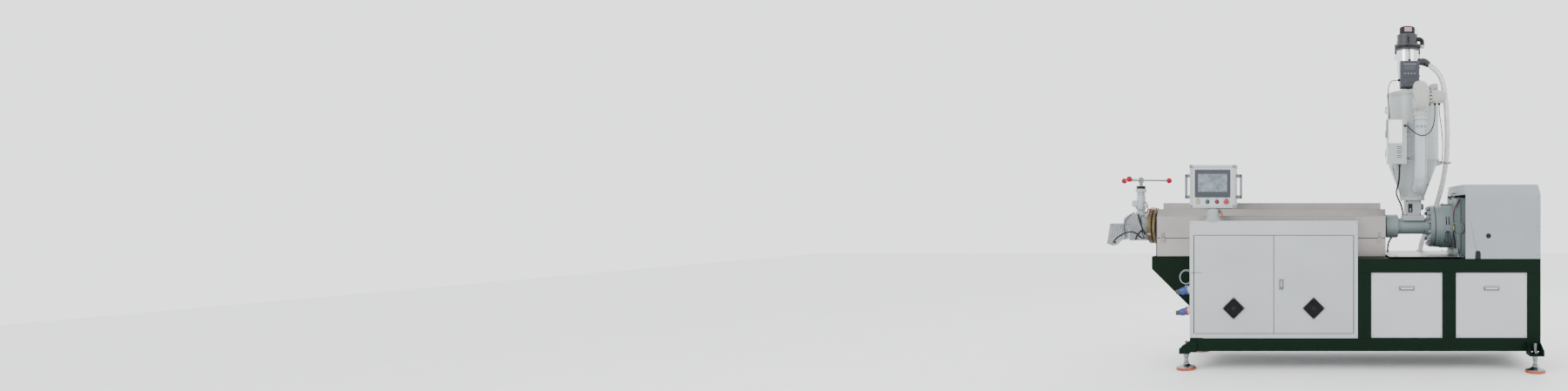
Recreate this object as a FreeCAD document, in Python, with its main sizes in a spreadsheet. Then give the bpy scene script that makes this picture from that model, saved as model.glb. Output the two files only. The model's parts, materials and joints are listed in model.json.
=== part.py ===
"""Single-screw plastic extruder with hopper dryer, vacuum loader, control cabinet and die valve.

Units are millimetres.  X runs from the die (left) to the gearbox (right), -Y is the
operator's side, Z is up.  The origin is on the floor at the middle of the machine.
"""
import FreeCAD, Part
import math
import os
import Sketcher

Vector = FreeCAD.Vector
Rotation = FreeCAD.Rotation

SIZES = {
    # Base frame and bed
    "bed_right": 1725,
    "bed_length": 3044,
    "frame_length": 2687,
    "bed_depth": 820,
    "bed_top": 855,
    "bed_plate": 15,
    "top_rail": 90,
    "bottom_rail": 100,
    "bottom_rail_low": 148,
    "rail_width": 100,
    "post_width": 103,
    "bay_width": 546,
    "panel_sheet": 3,
    "panel_inset": 8,
    "gusset_sheet": 12,
    "gusset_edge": 101,
    "gusset_reach": 440,
    "pull_length": 110,
    "pull_bar": 14,
    "pull_stand": 26,
    "pull_drop": 126,
    # Levelling feet
    "foot_radius": 75,
    "foot_rubber": 20,
    "foot_dome": 32,
    "foot_neck": 22,
    "foot_margin": 3,
    "stud_radius": 12,
    "stud_top": 220,
    "stud_clear": 0.5,
    "nut_radius": 20,
    "nut_tall": 19,
    "bracket_plate": 12,
    "bracket_drop": 19,
    "bracket_rise": 84,
    "bracket_tip": 30,
    "bracket_reach_left": 80,
    "bracket_reach_right": 110,
    "bracket_half": 55,
    "foot_from_right": 59,
    "foot_out": 36,
    # Control cabinet
    "cabinet_depth": 280,
    "cabinet_height": 896,
    "cabinet_sheet": 3,
    "cabinet_frame": 25,
    "frame_side": 28,
    "frame_low": 33,
    "frame_high": 106,
    "door_thick": 20,
    "door_sheet": 2,
    "door_gap": 5,
    "door_round": 6,
    "pin_radius": 3,
    "pin_grip": 12,
    "pin_clear": 0.3,
    "mount_plate": 3,
    "mount_margin": 60,
    "fan_side": 120,
    "fan_proud": 12,
    "fan_rise": 191,
    "latch_width": 34,
    "latch_height": 80,
    "latch_proud": 10,
    "latch_in": 56,
    "socket_radius": 34,
    "socket_long": 52,
    "plug_radius": 26,
    "plug_long": 74,
    "socket_high": 370,
    "socket_low": 215,
    # Operator panel
    "panel_width": 357,
    "panel_height": 334,
    "panel_thick": 110,
    "panel_in": 5,
    "panel_from_left": 174,
    "screen_width": 269,
    "screen_height": 210,
    "screen_proud": 6,
    "screen_rise": 87,
    "button_rise": 49,
    "button_pitch": 73,
    "button_radius": 15,
    "button_proud": 12,
    "mushroom_radius": 20,
    "mushroom_proud": 28,
    "grip_height": 190,
    "grip_bar": 14,
    "grip_arm": 28,
    "grip_rise": 74,
    "grip_tab": 20,
    "neck_flange": 76,
    "neck_flange_tall": 16,
    "neck_radius": 53,
    "neck_tall": 92,
    "neck_gap": 6,
    "stem_radius": 20,
    "stem_long": 46,
    "lever_radius": 7,
    "lever_long": 62,
    # Barrel and its cover
    "axis_y": 50,
    "axis_rise": 240,
    "barrel_radius": 60,
    "band_radius": 84,
    "band_width": 120,
    "band_pitch": 180,
    "band_first": 150,
    "hood_left": -1281,
    "hood_length": 1844,
    "hood_width": 330,
    "hood_sheet": 3,
    "tray_height": 151,
    "hood_side": 176,
    "hood_slope": 54,
    "split_gap": 2,
    "slot_room": 30,
    "lid_inset": 36,
    "lid_width": 190,
    "lid_height": 50,
    "toggle_in": 48,
    "toggle_width": 34,
    "toggle_tall": 38,
    "toggle_proud": 12,
    "hinge_offset": 8,
    "hinge_knuckle": 7,
    "hinge_pin": 4,
    "hinge_clear": 0.3,
    "hinge_leaf": 60,
    "hinge_in": 150,
    "support_width": 80,
    "support_thick": 40,
    "support_in": 40,
    # Feed end
    "collar_gap": 13,
    "collar_length": 97,
    "collar_radius": 96,
    "feed_length": 256,
    "feed_radius": 65,
    "seat_width": 176,
    "seat_depth": 150,
    "seat_below": 18,
    "seat_tall": 42,
    "block_width": 128,
    "block_tall": 124,
    "plate_radius": 100,
    "plate_tall": 27,
    "throat_radius": 30,
    # Gearbox
    "flange_length": 87,
    "flange_radius": 173,
    "lantern_length": 107,
    "lantern_radius": 178,
    "gear_length": 470,
    "gear_width": 420,
    "gear_tall": 470,
    "cover_in": 26,
    "cover_side": 497,
    "cover_slope": 75,
    "cover_sheet": 3,
    "cover_strip": 80,
    "cover_hole": 17.5,
    "hole_in": 176,
    "hole_rise": 176,
    "notch_in": 74,
    "notch_width": 43,
    "notch_tall": 42,
    # Hopper dryer
    "hopper_in": 126,
    "hopper_radius": 212.5,
    "hopper_neck": 97,
    "hopper_sheet": 3,
    "cone_tall": 300,
    "hopper_tall": 525,
    "lid_thick": 44,
    "lid_over": 6,
    "band_over": 8,
    "band_tall": 14,
    "blower_aside": 21,
    "blower_reach": 350,
    "blower_drop": 47,
    "volute_radius": 126,
    "volute_thick": 118,
    "vent_radius": 66,
    "vent_length": 24,
    "motor_radius": 50,
    "motor_length": 112,
    "pipe_radius": 48.5,
    "pipe_rise": 22,
    "pipe_bend": 110,
    "pipe_lap": 4,
    "return_radius": 31,
    "return_aside": 144,
    "return_rise": 4,
    "return_bend": 40,
    "return_end": 24,
    "heater_reach": 236,
    "heater_width": 152,
    "heater_depth": 120,
    "heater_nest": 8,
    "heater_drop": 44,
    "heater_tall": 355,
    "heater_link": 44,
    "chamber_radius": 30,
    "chamber_in": 16,
    "chamber_tall": 190,
    "shelf_reach": 38,
    "shelf_tall": 24,
    "shelf_drop": 26,
    "shelf_slope": 50,
    "shelf_front": 20,
    "shelf_width": 100,
    # Cable glands and where they sit
    "gland_radius": 9,
    "gland_long": 15,
    "gland_sink": 3,
    "blower_cord_in": 28,
    "sensor_cord_in": 62,
    "blower_cord_side": 13,
    "blower_cord_drop": 56,
    "supply_cord_in": 101,
    "supply_aside": 187,
    "supply_back": 216,
    "controller_cord_in": 25,
    "controller_cord_rise": 66,
    "head_cord_drop": 39,
    "nozzle_cord_in": 69,
    "nozzle_cord_rise": 18,
    "die_cord_in": 34,
    "die_cord_rise": 20,
    "die_sensor_side": 6,
    "die_sensor_in": 40,
    "die_sensor_drop": 18,
    # Vacuum loader
    "loader_aside": 43,
    "loader_foot": 60,
    "loader_cone": 190,
    "loader_radius": 95,
    "loader_tall": 148,
    "ring_radius": 99,
    "ring_tall": 55,
    "housing_radius": 84,
    "housing_tall": 82,
    "top_radius": 65,
    "top_tall": 72,
    "inlet_radius": 26,
    "inlet_length": 48,
    "inlet_drop": 85,
    "inlet_spigot": 48,
    "outlet_radius": 24,
    "outlet_bend": 40,
    "outlet_proud": 12,
    "controller_width": 156,
    "controller_tall": 217,
    "controller_depth": 90,
    "controller_rise": 10,
    # Die end
    "ring_length": 30,
    "clamp_length": 40,
    "clamp_radius": 148,
    "clamp_step": 6,
    "flange_gap": 22,
    "die_length": 197,
    "die_width": 180,
    "die_below": 115,
    "die_above": 105,
    "die_step": 45,
    "die_step_below": 22,
    "die_slope": 57,
    "die_chamfer": 0.7,
    "nozzle_lip": 5,
    "nozzle_shoulder": 42,
    "nozzle_top_in": 26,
    "nozzle_tip_drop": 44,
    "nozzle_tip_slant": 0.6,
    "nozzle_tip_width": 48,
    "nozzle_foot": 90,
    "nozzle_width": 140,
    "nozzle_length": 144,
    "column_in": 78,
    "column_radius": 32,
    "column_tall": 177,
    "nut_ring_radius": 45,
    "nut_ring_tall": 25,
    "cap_radius": 35,
    "cap_tall": 27,
    "spindle_radius": 14,
    "spindle_clear": 0.5,
    "spindle_deep": 60,
    "hub_radius": 20,
    "hub_tall": 40,
    "hub_gap": 26,
    "spoke_radius": 7,
    "spoke_reach": 230,
    "ball_radius": 23,
    "spoke_turn": 21,
    "terminal_width": 42,
    "terminal_depth": 60,
    "terminal_tall": 54,
    "terminal_rise": 54,
    "terminal_lap": 6,
    # Suction hose and its lance
    "hose_radius": 22.5,
    "lance_radius": 20,
    "lance_length": 620,
    "lance_aside": 116,
    "lance_gap": 48,
    "lance_drop": 45,
    "clip_width": 70,
    "clip_tall": 30,
}

# The loader's inlet ends in a spigot that points out and down this way.
INLET_SLOPE = math.radians(35)
INLET_WAY = (math.cos(INLET_SLOPE), 0, -math.sin(INLET_SLOPE))

# Each cord: its radius, then chosen points out from its first end and out from its last
# end, each counted from that end, so that either end takes its half of the route along.
CORDS = {
    # from the loader's inlet behind the cone and down to the lance
    "suction_hose": (
        SIZES["hose_radius"],
        [(0, 0, 0), (73.7, 0, -51.6), (113.7, 3, -139.5), (137.7, 8, -279.5),
         (151.7, 22, -469.5), (159.7, 60, -689.5)],
        [(177, -278, 755), (151, -188, 565), (105, -98, 385), (50, -22, 220), (0, 0, 95),
         (0, 0, 0)]),
    # from the heater box, under the blower and up into its motor
    "blower_cable": (
        4,
        [(0, 0, 0), (0, -40.5, 0), (20, -76.5, -26), (63, -90.5, -70), (128, -94.5, -95)],
        [(-46, -68, -222), (-16, -38, -163), (-2, -10, -98), (0, 0, -43), (0, 0, 0)]),
    # from the blower's motor down to the shelf on the cone
    "sensor_cable": (
        3.5,
        [(0, 0, 0), (0, 0, -46), (9, 16, -100), (27, 56, -168), (45, 120, -238),
         (53, 160, -286)],
        [(-4, -130, 88), (0, -84, 28), (0, -46, 0), (0, 0, 0)]),
    # from the controller's side down to the top of the heater box
    "controller_cable": (
        3.5,
        [(0, 0, 0), (-48, 0, 0), (-75, -14, -44), (-83, -40, -120)],
        [(-8, 20, 119), (0, 0, 46), (0, 0, 0)]),
    # from the loader's head down to its controller
    "head_cable": (
        3.5,
        [(0, 0, 0), (0, -42, 0), (-4, -70, -36)],
        [(-7, -3, 90), (0, 0, 44), (0, 0, 0)]),
    # from under the heater box, behind the cone and down to the bed
    "supply_cable": (
        7,
        [(0, 0, 0), (0, 0, -66), (-4, 36, -136), (-8, 134, -180), (-2, 244, -208),
         (20, 334, -246), (58, 400, -306), (78, 432, -391)],
        [(114, -20, 230), (60, -4, 160), (14, 0, 95), (0, 0, 45), (0, 0, 0)]),
    # from the nozzle's heater, over the die block's face to its plug
    "nozzle_cable": (
        6,
        [(0, 0, 0), (0, -55, 0), (24, -101, 22), (78, -123, 64), (150, -129, 96)],
        [(-30, -109, 48), (0, -63, 0), (0, 0, 0)]),
    # from the top of the die block's face to its right foot
    "die_sensor_cable": (
        4,
        [(0, 0, 0), (0, -44, 0), (5, -76, -34), (16, -84, -92)],
        [(-6, -74, 32), (0, -44, 0), (0, 0, 0)]),
}

DOC = FreeCAD.newDocument("plastic_extruder")
NODES = {}
PLACES = {name: [] for name in CORDS}


# ---------------------------------------------------------------- sizes and the sheet

class Size:
    """A length that keeps both its value and the sheet expression that gives it."""

    def __init__(self, value, text):
        self.value = value
        self.text = text

    def __add__(self, other):
        return joined(self, "+", other, value_of(self) + value_of(other))

    def __radd__(self, other):
        return joined(other, "+", self, value_of(other) + value_of(self))

    def __sub__(self, other):
        return joined(self, "-", other, value_of(self) - value_of(other))

    def __rsub__(self, other):
        return joined(other, "-", self, value_of(other) - value_of(self))

    def __mul__(self, other):
        return joined(self, "*", other, value_of(self) * value_of(other))

    __rmul__ = __mul__

    def __truediv__(self, other):
        return joined(self, "/", other, value_of(self) / value_of(other))

    def __neg__(self):
        return joined(0, "-", self, -value_of(self))


def value_of(size):
    return size.value if isinstance(size, Size) else float(size)


def text_of(size):
    return size.text if isinstance(size, Size) else repr(float(size))


def joined(first, sign, second, value):
    return Size(value, "(%s %s %s)" % (text_of(first), sign, text_of(second)))


class Sheet:
    """The spreadsheet of driving sizes, read as attributes."""

    def __init__(self, sizes):
        sheet = DOC.addObject("Spreadsheet::Sheet", "dims")
        for row, (name, value) in enumerate(sizes.items(), start=1):
            cell = "A%d" % row
            sheet.set(cell, str(value))
            sheet.setAlias(cell, name)
            setattr(self, name, Size(float(value), "dims." + name))


D = Sheet(SIZES)
DOC.recompute()


# ---------------------------------------------------------------- drawing helpers

TURN = {
    "x": Rotation(Vector(0, 1, 0), 90),
    "y": Rotation(Vector(1, 0, 0), -90),
    "z": Rotation(),
}


def bind(thing, **sizes):
    for name, size in sizes.items():
        thing.setExpression(name, text_of(size))


def put(thing, corner, rotation=Rotation()):
    """Place a shape: its rotation is fixed, its corner follows the sheet."""
    thing.Placement = FreeCAD.Placement(Vector(), rotation)
    for letter, size in zip("xyz", corner):
        thing.setExpression("Placement.Base." + letter, text_of(size))
    return thing


def box(across, deep, tall):
    """A block between two sizes on each axis."""
    shape = DOC.addObject("Part::Box", "block")
    bind(shape, Length=across[1] - across[0], Width=deep[1] - deep[0], Height=tall[1] - tall[0])
    return put(shape, (across[0], deep[0], tall[0]))


def cylinder(along, start, radius, length):
    shape = DOC.addObject("Part::Cylinder", "round")
    bind(shape, Radius=radius, Height=length)
    return put(shape, start, TURN.get(along) or Rotation(Vector(0, 0, 1), Vector(*along)))


def cone(along, start, first_radius, last_radius, length):
    shape = DOC.addObject("Part::Cone", "taper")
    bind(shape, Radius1=first_radius, Radius2=last_radius, Height=length)
    return put(shape, start, TURN[along])


def ball(centre, radius):
    shape = DOC.addObject("Part::Sphere", "ball")
    bind(shape, Radius=radius)
    return put(shape, centre)


def hexagon(start, radius, height):
    shape = DOC.addObject("Part::Prism", "hexagon")
    bind(shape, Circumradius=radius, Height=height)
    return put(shape, start)


def elbow(centre, bend, radius, rotation):
    """A quarter of a torus."""
    shape = DOC.addObject("Part::Torus", "elbow")
    bind(shape, Radius1=bend, Radius2=radius)
    shape.Angle3 = 90
    return put(shape, centre, rotation)


def fuse(*shapes):
    whole = DOC.addObject("Part::MultiFuse", "joined")
    whole.Shapes = list(shapes)
    whole.Refine = True
    return whole


def cut(base, *tools):
    rest = DOC.addObject("Part::Cut", "rest")
    rest.Base = base
    rest.Tool = tools[0] if len(tools) == 1 else fuse(*tools)
    return rest


def group(*shapes):
    """Like pieces that don't touch."""
    together = DOC.addObject("Part::Compound", "group")
    together.Links = list(shapes)
    return together


def outline_body(plane, outline, offset):
    """A body with one closed sketch on an origin plane, moved along the plane's normal."""
    body = DOC.addObject("PartDesign::Body", "body")
    sketch = body.newObject("Sketcher::SketchObject", "outline")
    origin = next(item for item in body.Origin.OriginFeatures if item.Role == plane)
    sketch.AttachmentSupport = [(origin, "")]
    sketch.MapMode = "FlatFace"
    sketch.setExpression("AttachmentOffset.Base.z", text_of(offset))
    corners = [Vector(value_of(x), value_of(y), 0) for x, y in outline]
    for corner, following in zip(corners, corners[1:] + corners[:1]):
        sketch.addGeometry(Part.LineSegment(corner, following), False)
    count = len(outline)
    for side in range(count):
        sketch.addConstraint(Sketcher.Constraint("Coincident", side, 2, (side + 1) % count, 1))
    for side, point in enumerate(outline):
        for kind, size in zip(("DistanceX", "DistanceY"), point):
            number = sketch.addConstraint(Sketcher.Constraint(kind, side, 1, value_of(size)))
            sketch.setExpression("Constraints[%d]" % number, text_of(size))
    return body, sketch


def prism(plane, outline, start, length):
    """An outline padded from start along +X (YZ outlines), +Y (XZ) or +Z (XY)."""
    backwards = plane == "XZ_Plane"
    body, sketch = outline_body(plane, outline, -start if backwards else start)
    pad = body.newObject("PartDesign::Pad", "pad")
    pad.Profile = sketch
    pad.Reversed = backwards
    bind(pad, Length=length)
    return body


def turned(outline, x, y, z):
    """An outline of radius and height, turned about a vertical axis."""
    body, sketch = outline_body("XZ_Plane", outline, 0)
    turn = body.newObject("PartDesign::Revolution", "turn")
    turn.Profile = sketch
    turn.ReferenceAxis = (sketch, ["V_Axis"])
    return put(body, (x, y, z))


def tube(points, radius):
    """A round bar along straight runs joined by tangent arcs, as large as the runs allow."""
    points = [Vector(*point) for point in points]
    edges = []
    here = points[0]
    length = 0.0
    for before, corner, after in zip(points, points[1:], points[2:]):
        inward = (before - corner).normalize()
        outward = (after - corner).normalize()
        turn = math.pi - inward.getAngle(outward)
        reach = 0.45 * min((corner - before).Length, (after - corner).Length)
        bend = reach / math.tan(turn / 2)
        first = corner + inward * reach
        last = corner + outward * reach
        centre = corner + (inward + outward).normalize() * math.hypot(reach, bend)
        middle = centre + (corner - centre).normalize() * bend
        print("bend radius %.0f mm, turn %.0f degrees" % (bend, math.degrees(turn)))
        edges.append(Part.LineSegment(here, first).toShape())
        edges.append(Part.Arc(first, middle, last).toShape())
        length += (first - here).Length + bend * turn
        here = last
    edges.append(Part.LineSegment(here, points[-1]).toShape())
    length += (points[-1] - here).Length
    path = Part.Wire(edges)
    mouth = Part.Wire(Part.Circle(points[0], points[1] - points[0], radius).toShape())
    solid = path.makePipeShell([mouth], True, False)
    wanted = math.pi * radius ** 2 * length
    if abs(solid.Volume - wanted) > 0.01 * wanted:
        raise ValueError("the tube's volume is off")
    print("tube length %.0f mm" % length)
    feature = DOC.addObject("Part::Feature", "tube")
    feature.Shape = solid
    return feature


def keep(name, shape):
    """Name a finished sub-part: the label is its file's name."""
    shape.Label = name
    NODES[name] = shape


def mirrored(sign, near, far):
    """Two sizes out from the middle on either side, in rising order."""
    return (near, far) if sign > 0 else (-far, -near)


def gland(along, end):
    """A cable gland, one gland long from its lower end."""
    return cylinder(along, end, D.gland_radius, D.gland_long)


# ---------------------------------------------------------------- shared places

bed_left = D.bed_right - D.bed_length
frame_left = D.bed_right - D.frame_length
bed_front = D.bed_depth * -0.5
bed_rear = D.bed_depth * 0.5
plate_low = D.bed_top - D.bed_plate
top_rail_low = plate_low - D.top_rail
bottom_rail_top = D.bottom_rail_low + D.bottom_rail
front_inside = bed_front + D.rail_width
rear_inside = bed_rear - D.rail_width
right_post = D.bed_right - D.post_width
middle_post = right_post - D.bay_width - D.post_width
left_post = middle_post - D.bay_width - D.post_width
rear_post = (frame_left + left_post) / 2
cabinet_rear = bed_front + D.cabinet_depth
inner_inside = cabinet_rear + D.rail_width
wing_rear = D.axis_y * 2 - cabinet_rear
axis_z = D.bed_top + D.axis_rise

cabinet_top = bottom_rail_top + D.cabinet_height
door_room_left = frame_left + D.frame_side
door_room_right = left_post - D.frame_side
door_room_low = bottom_rail_top + D.frame_low
door_room_top = cabinet_top - D.frame_high
door_meet = (door_room_left + door_room_right) / 2
door_low = door_room_low + D.door_gap
door_top = door_room_top - D.door_gap
left_door_edges = (door_room_left + D.door_gap, door_meet - D.door_gap / 2)
right_door_edges = (door_meet + D.door_gap / 2, door_room_right - D.door_gap)

panel_x = frame_left + D.panel_from_left
panel_front = bed_front + D.panel_in
panel_rear = panel_front + D.panel_thick
panel_y = (panel_front + panel_rear) / 2
panel_low = cabinet_top + D.neck_tall + D.neck_gap
panel_left = panel_x - D.panel_width / 2
panel_right = panel_x + D.panel_width / 2

hood_right = D.hood_left + D.hood_length
hood_front = D.axis_y - D.hood_width / 2
hood_rear = D.axis_y + D.hood_width / 2
split = D.bed_top + D.tray_height
hood_low = split + D.split_gap
hood_eave = split + D.hood_side
hood_top = hood_eave + D.hood_slope
hinge_y = hood_rear + D.hinge_offset
hinge_z = split + D.split_gap / 2

collar_left = hood_right + D.collar_gap
feed_left = collar_left + D.collar_length
gear_flange = feed_left + D.feed_length
lantern_left = gear_flange + D.flange_length
gear_left = lantern_left + D.lantern_length
gear_top = D.bed_top + D.gear_tall
cover_left = gear_left + D.cover_in
hopper_x = feed_left + D.hopper_in

seat_low = axis_z + D.feed_radius - D.seat_below
seat_top = seat_low + D.seat_tall
block_top = seat_top + D.block_tall
cone_low = block_top + D.plate_tall
cone_top = cone_low + D.cone_tall
hopper_top = cone_top + D.hopper_tall
lid_top = hopper_top + D.lid_thick
loader_x = hopper_x - D.loader_aside
return_x = hopper_x + D.return_aside
blower_x = hopper_x + D.blower_aside
blower_y = D.axis_y - D.blower_reach
blower_z = hopper_top - D.blower_drop
pipe_low = cone_low + D.pipe_rise
heater_left = hopper_x - D.heater_reach
heater_low = cone_top - D.heater_drop
supply_x = hopper_x - D.supply_aside
supply_y = D.axis_y + D.supply_back
lance_x = hopper_x + D.lance_aside
lance_y = bed_rear + D.lance_gap
lance_top = D.bed_top - D.lance_drop

loader_low = lid_top + D.loader_cone
loader_top = loader_low + D.loader_tall
ring_top = loader_top + D.ring_tall
housing_top = ring_top + D.housing_tall

die_ring_left = D.hood_left - D.flange_gap - D.ring_length
clamp_left = die_ring_left - D.clamp_length
die_left = clamp_left - D.die_length
nozzle_left = die_left - D.nozzle_length
die_low = axis_z - D.die_below
die_top = axis_z + D.die_above
die_step_z = axis_z - D.die_step_below
column_x = clamp_left - D.column_in
column_top = die_top + D.column_tall
nut_ring_top = column_top + D.nut_ring_tall
cap_top = nut_ring_top + D.cap_tall
hub_low = cap_top + D.hub_gap


# ---------------------------------------------------------------- base frame

def base_rails():
    across = (frame_left, D.bed_right)
    top = (top_rail_low, plate_low)
    low = (D.bottom_rail_low, bottom_rail_top)
    front_low = box(across, (bed_front, front_inside), low)
    rear_low = box(across, (rear_inside, bed_rear), low)
    keep("bottom_rails", group(fuse(front_low, *foot_brackets(-1)),
                               fuse(rear_low, *foot_brackets(1))))
    keep("top_rails", group(
        box((left_post, D.bed_right), (bed_front, front_inside), top),
        box((frame_left, left_post), (cabinet_rear, inner_inside), top),
        box(across, (rear_inside, bed_rear), top)))


def cross_rails():
    places = (frame_left, left_post, middle_post, right_post)
    between = (front_inside, rear_inside)
    low = (D.bottom_rail_low, bottom_rail_top)
    high = (top_rail_low, plate_low)
    bottom = [box((x, x + D.post_width), between, low) for x in places]
    top = [box((x, x + D.post_width), between, high) for x in places[1:]]
    top.append(box((frame_left, frame_left + D.post_width), (inner_inside, rear_inside), high))
    keep("cross_rails", group(*bottom, *top))


def posts():
    tall = (bottom_rail_top, top_rail_low)
    front = [box((x, x + D.post_width), (bed_front, front_inside), tall)
             for x in (left_post, middle_post, right_post)]
    inner = box((frame_left, frame_left + D.post_width), (cabinet_rear, inner_inside), tall)
    rear = [box((x, x + D.post_width), (rear_inside, bed_rear), tall)
            for x in (frame_left, rear_post, left_post, middle_post, right_post)]
    keep("posts", group(*front, inner, *rear))


def bed_plate():
    outline = [
        (bed_left, cabinet_rear),
        (left_post, cabinet_rear),
        (left_post, bed_front),
        (D.bed_right, bed_front),
        (D.bed_right, bed_rear),
        (frame_left, bed_rear),
        (frame_left, wing_rear),
        (bed_left, wing_rear),
    ]
    gland_end = (supply_x, supply_y, D.bed_top)
    keep("bed_plate", fuse(prism("XY_Plane", outline, plate_low, D.bed_plate),
                           gland("z", gland_end)))
    PLACES["supply_cable"].append((supply_x, supply_y, D.bed_top + D.gland_long))


def bed_wing():
    """Two sloping gussets and an end strip carry the bed past the leg frame."""
    edge_low = D.bed_top - D.gusset_edge
    outline = [
        (bed_left, edge_low),
        (frame_left, plate_low - D.gusset_reach),
        (frame_left, plate_low),
        (bed_left, plate_low),
    ]
    front = prism("XZ_Plane", outline, cabinet_rear, D.gusset_sheet)
    rear = prism("XZ_Plane", outline, wing_rear - D.gusset_sheet, D.gusset_sheet)
    strip = box((bed_left, bed_left + D.gusset_sheet),
                (cabinet_rear + D.gusset_sheet, wing_rear - D.gusset_sheet),
                (edge_low + D.gusset_sheet, plate_low))
    keep("bed_wing", fuse(front, rear, strip))


def bay_panels():
    """Lift-off panels between the posts."""
    tall = (bottom_rail_top, top_rail_low)
    front_y = bed_front + D.panel_inset
    rear_y = bed_rear - D.panel_inset
    wide = D.post_width
    front_bays = [(left_post + wide, middle_post), (middle_post + wide, right_post)]
    rear_bays = [(frame_left + wide, rear_post), (rear_post + wide, left_post)] + front_bays
    front = [box(bay, (front_y, front_y + D.panel_sheet), tall) for bay in front_bays]
    rear = [box(bay, (rear_y - D.panel_sheet, rear_y), tall) for bay in rear_bays]
    right_x = D.bed_right - D.panel_inset
    left_x = frame_left + D.panel_inset
    ends = [
        box((right_x - D.panel_sheet, right_x), (front_inside, rear_inside), tall),
        box((left_x, left_x + D.panel_sheet), (inner_inside, rear_inside), tall),
    ]
    keep("bay_panels", group(*front, *rear, *ends))
    low = top_rail_low - D.pull_drop
    pulls = [pull_handle((bay[0] + bay[1]) / 2, front_y, low, -1) for bay in front_bays]
    pulls += [pull_handle((bay[0] + bay[1]) / 2, rear_y, low, 1) for bay in rear_bays]
    keep("panel_handles", group(*pulls))


def pull_handle(middle, face, low, outward):
    """A bow handle standing off a panel's face."""
    half = D.pull_length / 2
    tip = face + outward * D.pull_stand
    inner = tip - outward * D.pull_bar
    tall = (low, low + D.pull_bar)
    leg_y = (tip, face) if outward < 0 else (face, tip)
    bar_y = (tip, inner) if outward < 0 else (inner, tip)
    left = box((middle - half, middle - half + D.pull_bar), leg_y, tall)
    right = box((middle + half - D.pull_bar, middle + half), leg_y, tall)
    bar = box((middle - half, middle + half), bar_y, tall)
    return fuse(left, right, bar)


def foot_places(sign):
    """The left and right foot on the front (-1) or rear (1) side."""
    left_y = D.bed_depth / 2 - D.rail_width / 2
    right_y = D.bed_depth / 2 + D.bracket_reach_right / 2
    return [(frame_left - D.foot_out, sign * left_y),
            (D.bed_right - D.foot_from_right, sign * right_y)]


def foot_brackets(sign):
    low = D.bottom_rail_low - D.bracket_drop
    top = low + D.bracket_plate
    hole = D.stud_radius + D.stud_clear
    left_hole, right_hole = [cylinder("z", (x, y, low), hole, D.bracket_plate)
                             for x, y in foot_places(sign)]
    return (left_bracket(sign, low, top, left_hole), right_bracket(sign, low, top, right_hole))


def left_bracket(sign, low, top, stud_hole):
    """A plate and two gussets that reach out past the frame's left end."""
    tip = frame_left - D.bracket_reach_left
    outer = D.bed_depth / 2
    inner = outer - D.rail_width
    plate_y = mirrored(sign, inner, outer + D.bracket_plate)
    plate = cut(box((tip, frame_left), plate_y, (low, top)), stud_hole)
    outline = [(tip, top), (frame_left, top), (frame_left, top + D.bracket_rise),
               (tip, top + D.bracket_tip)]
    lapped = [(tip, top), (frame_left + D.bracket_half, top),
              (frame_left + D.bracket_half, top + D.bracket_rise),
              (frame_left, top + D.bracket_rise), (tip, top + D.bracket_tip)]
    outer_y = mirrored(sign, outer, outer + D.bracket_plate)
    inner_y = mirrored(sign, inner, inner + D.bracket_plate)
    return fuse(plate, prism("XZ_Plane", lapped, outer_y[0], D.bracket_plate),
                prism("XZ_Plane", outline, inner_y[0], D.bracket_plate))


def right_bracket(sign, low, top, stud_hole):
    """A plate and two gussets that reach out from the rail's side."""
    near = D.bed_depth / 2
    far = near + D.bracket_reach_right
    middle = D.bed_right - D.foot_from_right
    left = middle - D.bracket_half
    right = middle + D.bracket_half
    plate = cut(box((left, right), mirrored(sign, near, far), (low, top)), stud_hole)
    outline = [(sign * near, top), (sign * near, top + D.bracket_rise),
               (sign * far, top + D.bracket_tip), (sign * far, top)]
    return fuse(plate, prism("YZ_Plane", outline, left, D.bracket_plate),
                prism("YZ_Plane", outline, right - D.bracket_plate, D.bracket_plate))


def levelling_feet():
    rubber = []
    studs = []
    dome_top = D.foot_rubber + D.foot_dome
    low = D.bottom_rail_low - D.bracket_drop
    for x, y in foot_places(-1) + foot_places(1):
        rubber.append(cylinder("z", (x, y, 0), D.foot_radius, D.foot_rubber))
        studs.append(fuse(
            cone("z", (x, y, D.foot_rubber), D.foot_radius - D.foot_margin, D.foot_neck,
                 D.foot_dome),
            cylinder("z", (x, y, dome_top), D.stud_radius, D.stud_top - dome_top),
            hexagon((x, y, low - D.nut_tall), D.nut_radius, D.nut_tall),
            hexagon((x, y, low + D.bracket_plate), D.nut_radius, D.nut_tall)))
    keep("foot_rubbers", group(*rubber))
    keep("foot_studs", group(*studs))


# ---------------------------------------------------------------- control cabinet

def cabinet():
    sheet = D.cabinet_sheet
    whole = box((frame_left, left_post), (bed_front, cabinet_rear), (bottom_rail_top, cabinet_top))
    room = box((frame_left + sheet, left_post - sheet),
               (bed_front + D.cabinet_frame, cabinet_rear - sheet),
               (bottom_rail_top + sheet, cabinet_top - sheet))
    doorway = box((door_room_left, door_room_right), (bed_front, bed_front + D.cabinet_frame),
                  (door_room_low, door_room_top))
    margin = D.mount_margin
    plate_rear = cabinet_rear - sheet
    back_plate = box((frame_left + margin, left_post - margin),
                     (plate_rear - D.mount_plate, plate_rear),
                     (bottom_rail_top + margin, cabinet_top - margin))
    keep("cabinet_body", fuse(cut(whole, room, doorway), back_plate, *door_pins()))


def hinge_axis(edge, inward):
    """Where a door's pins stand: inside its rounded corner."""
    return edge + inward * D.door_round, bed_front + D.door_round


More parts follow.
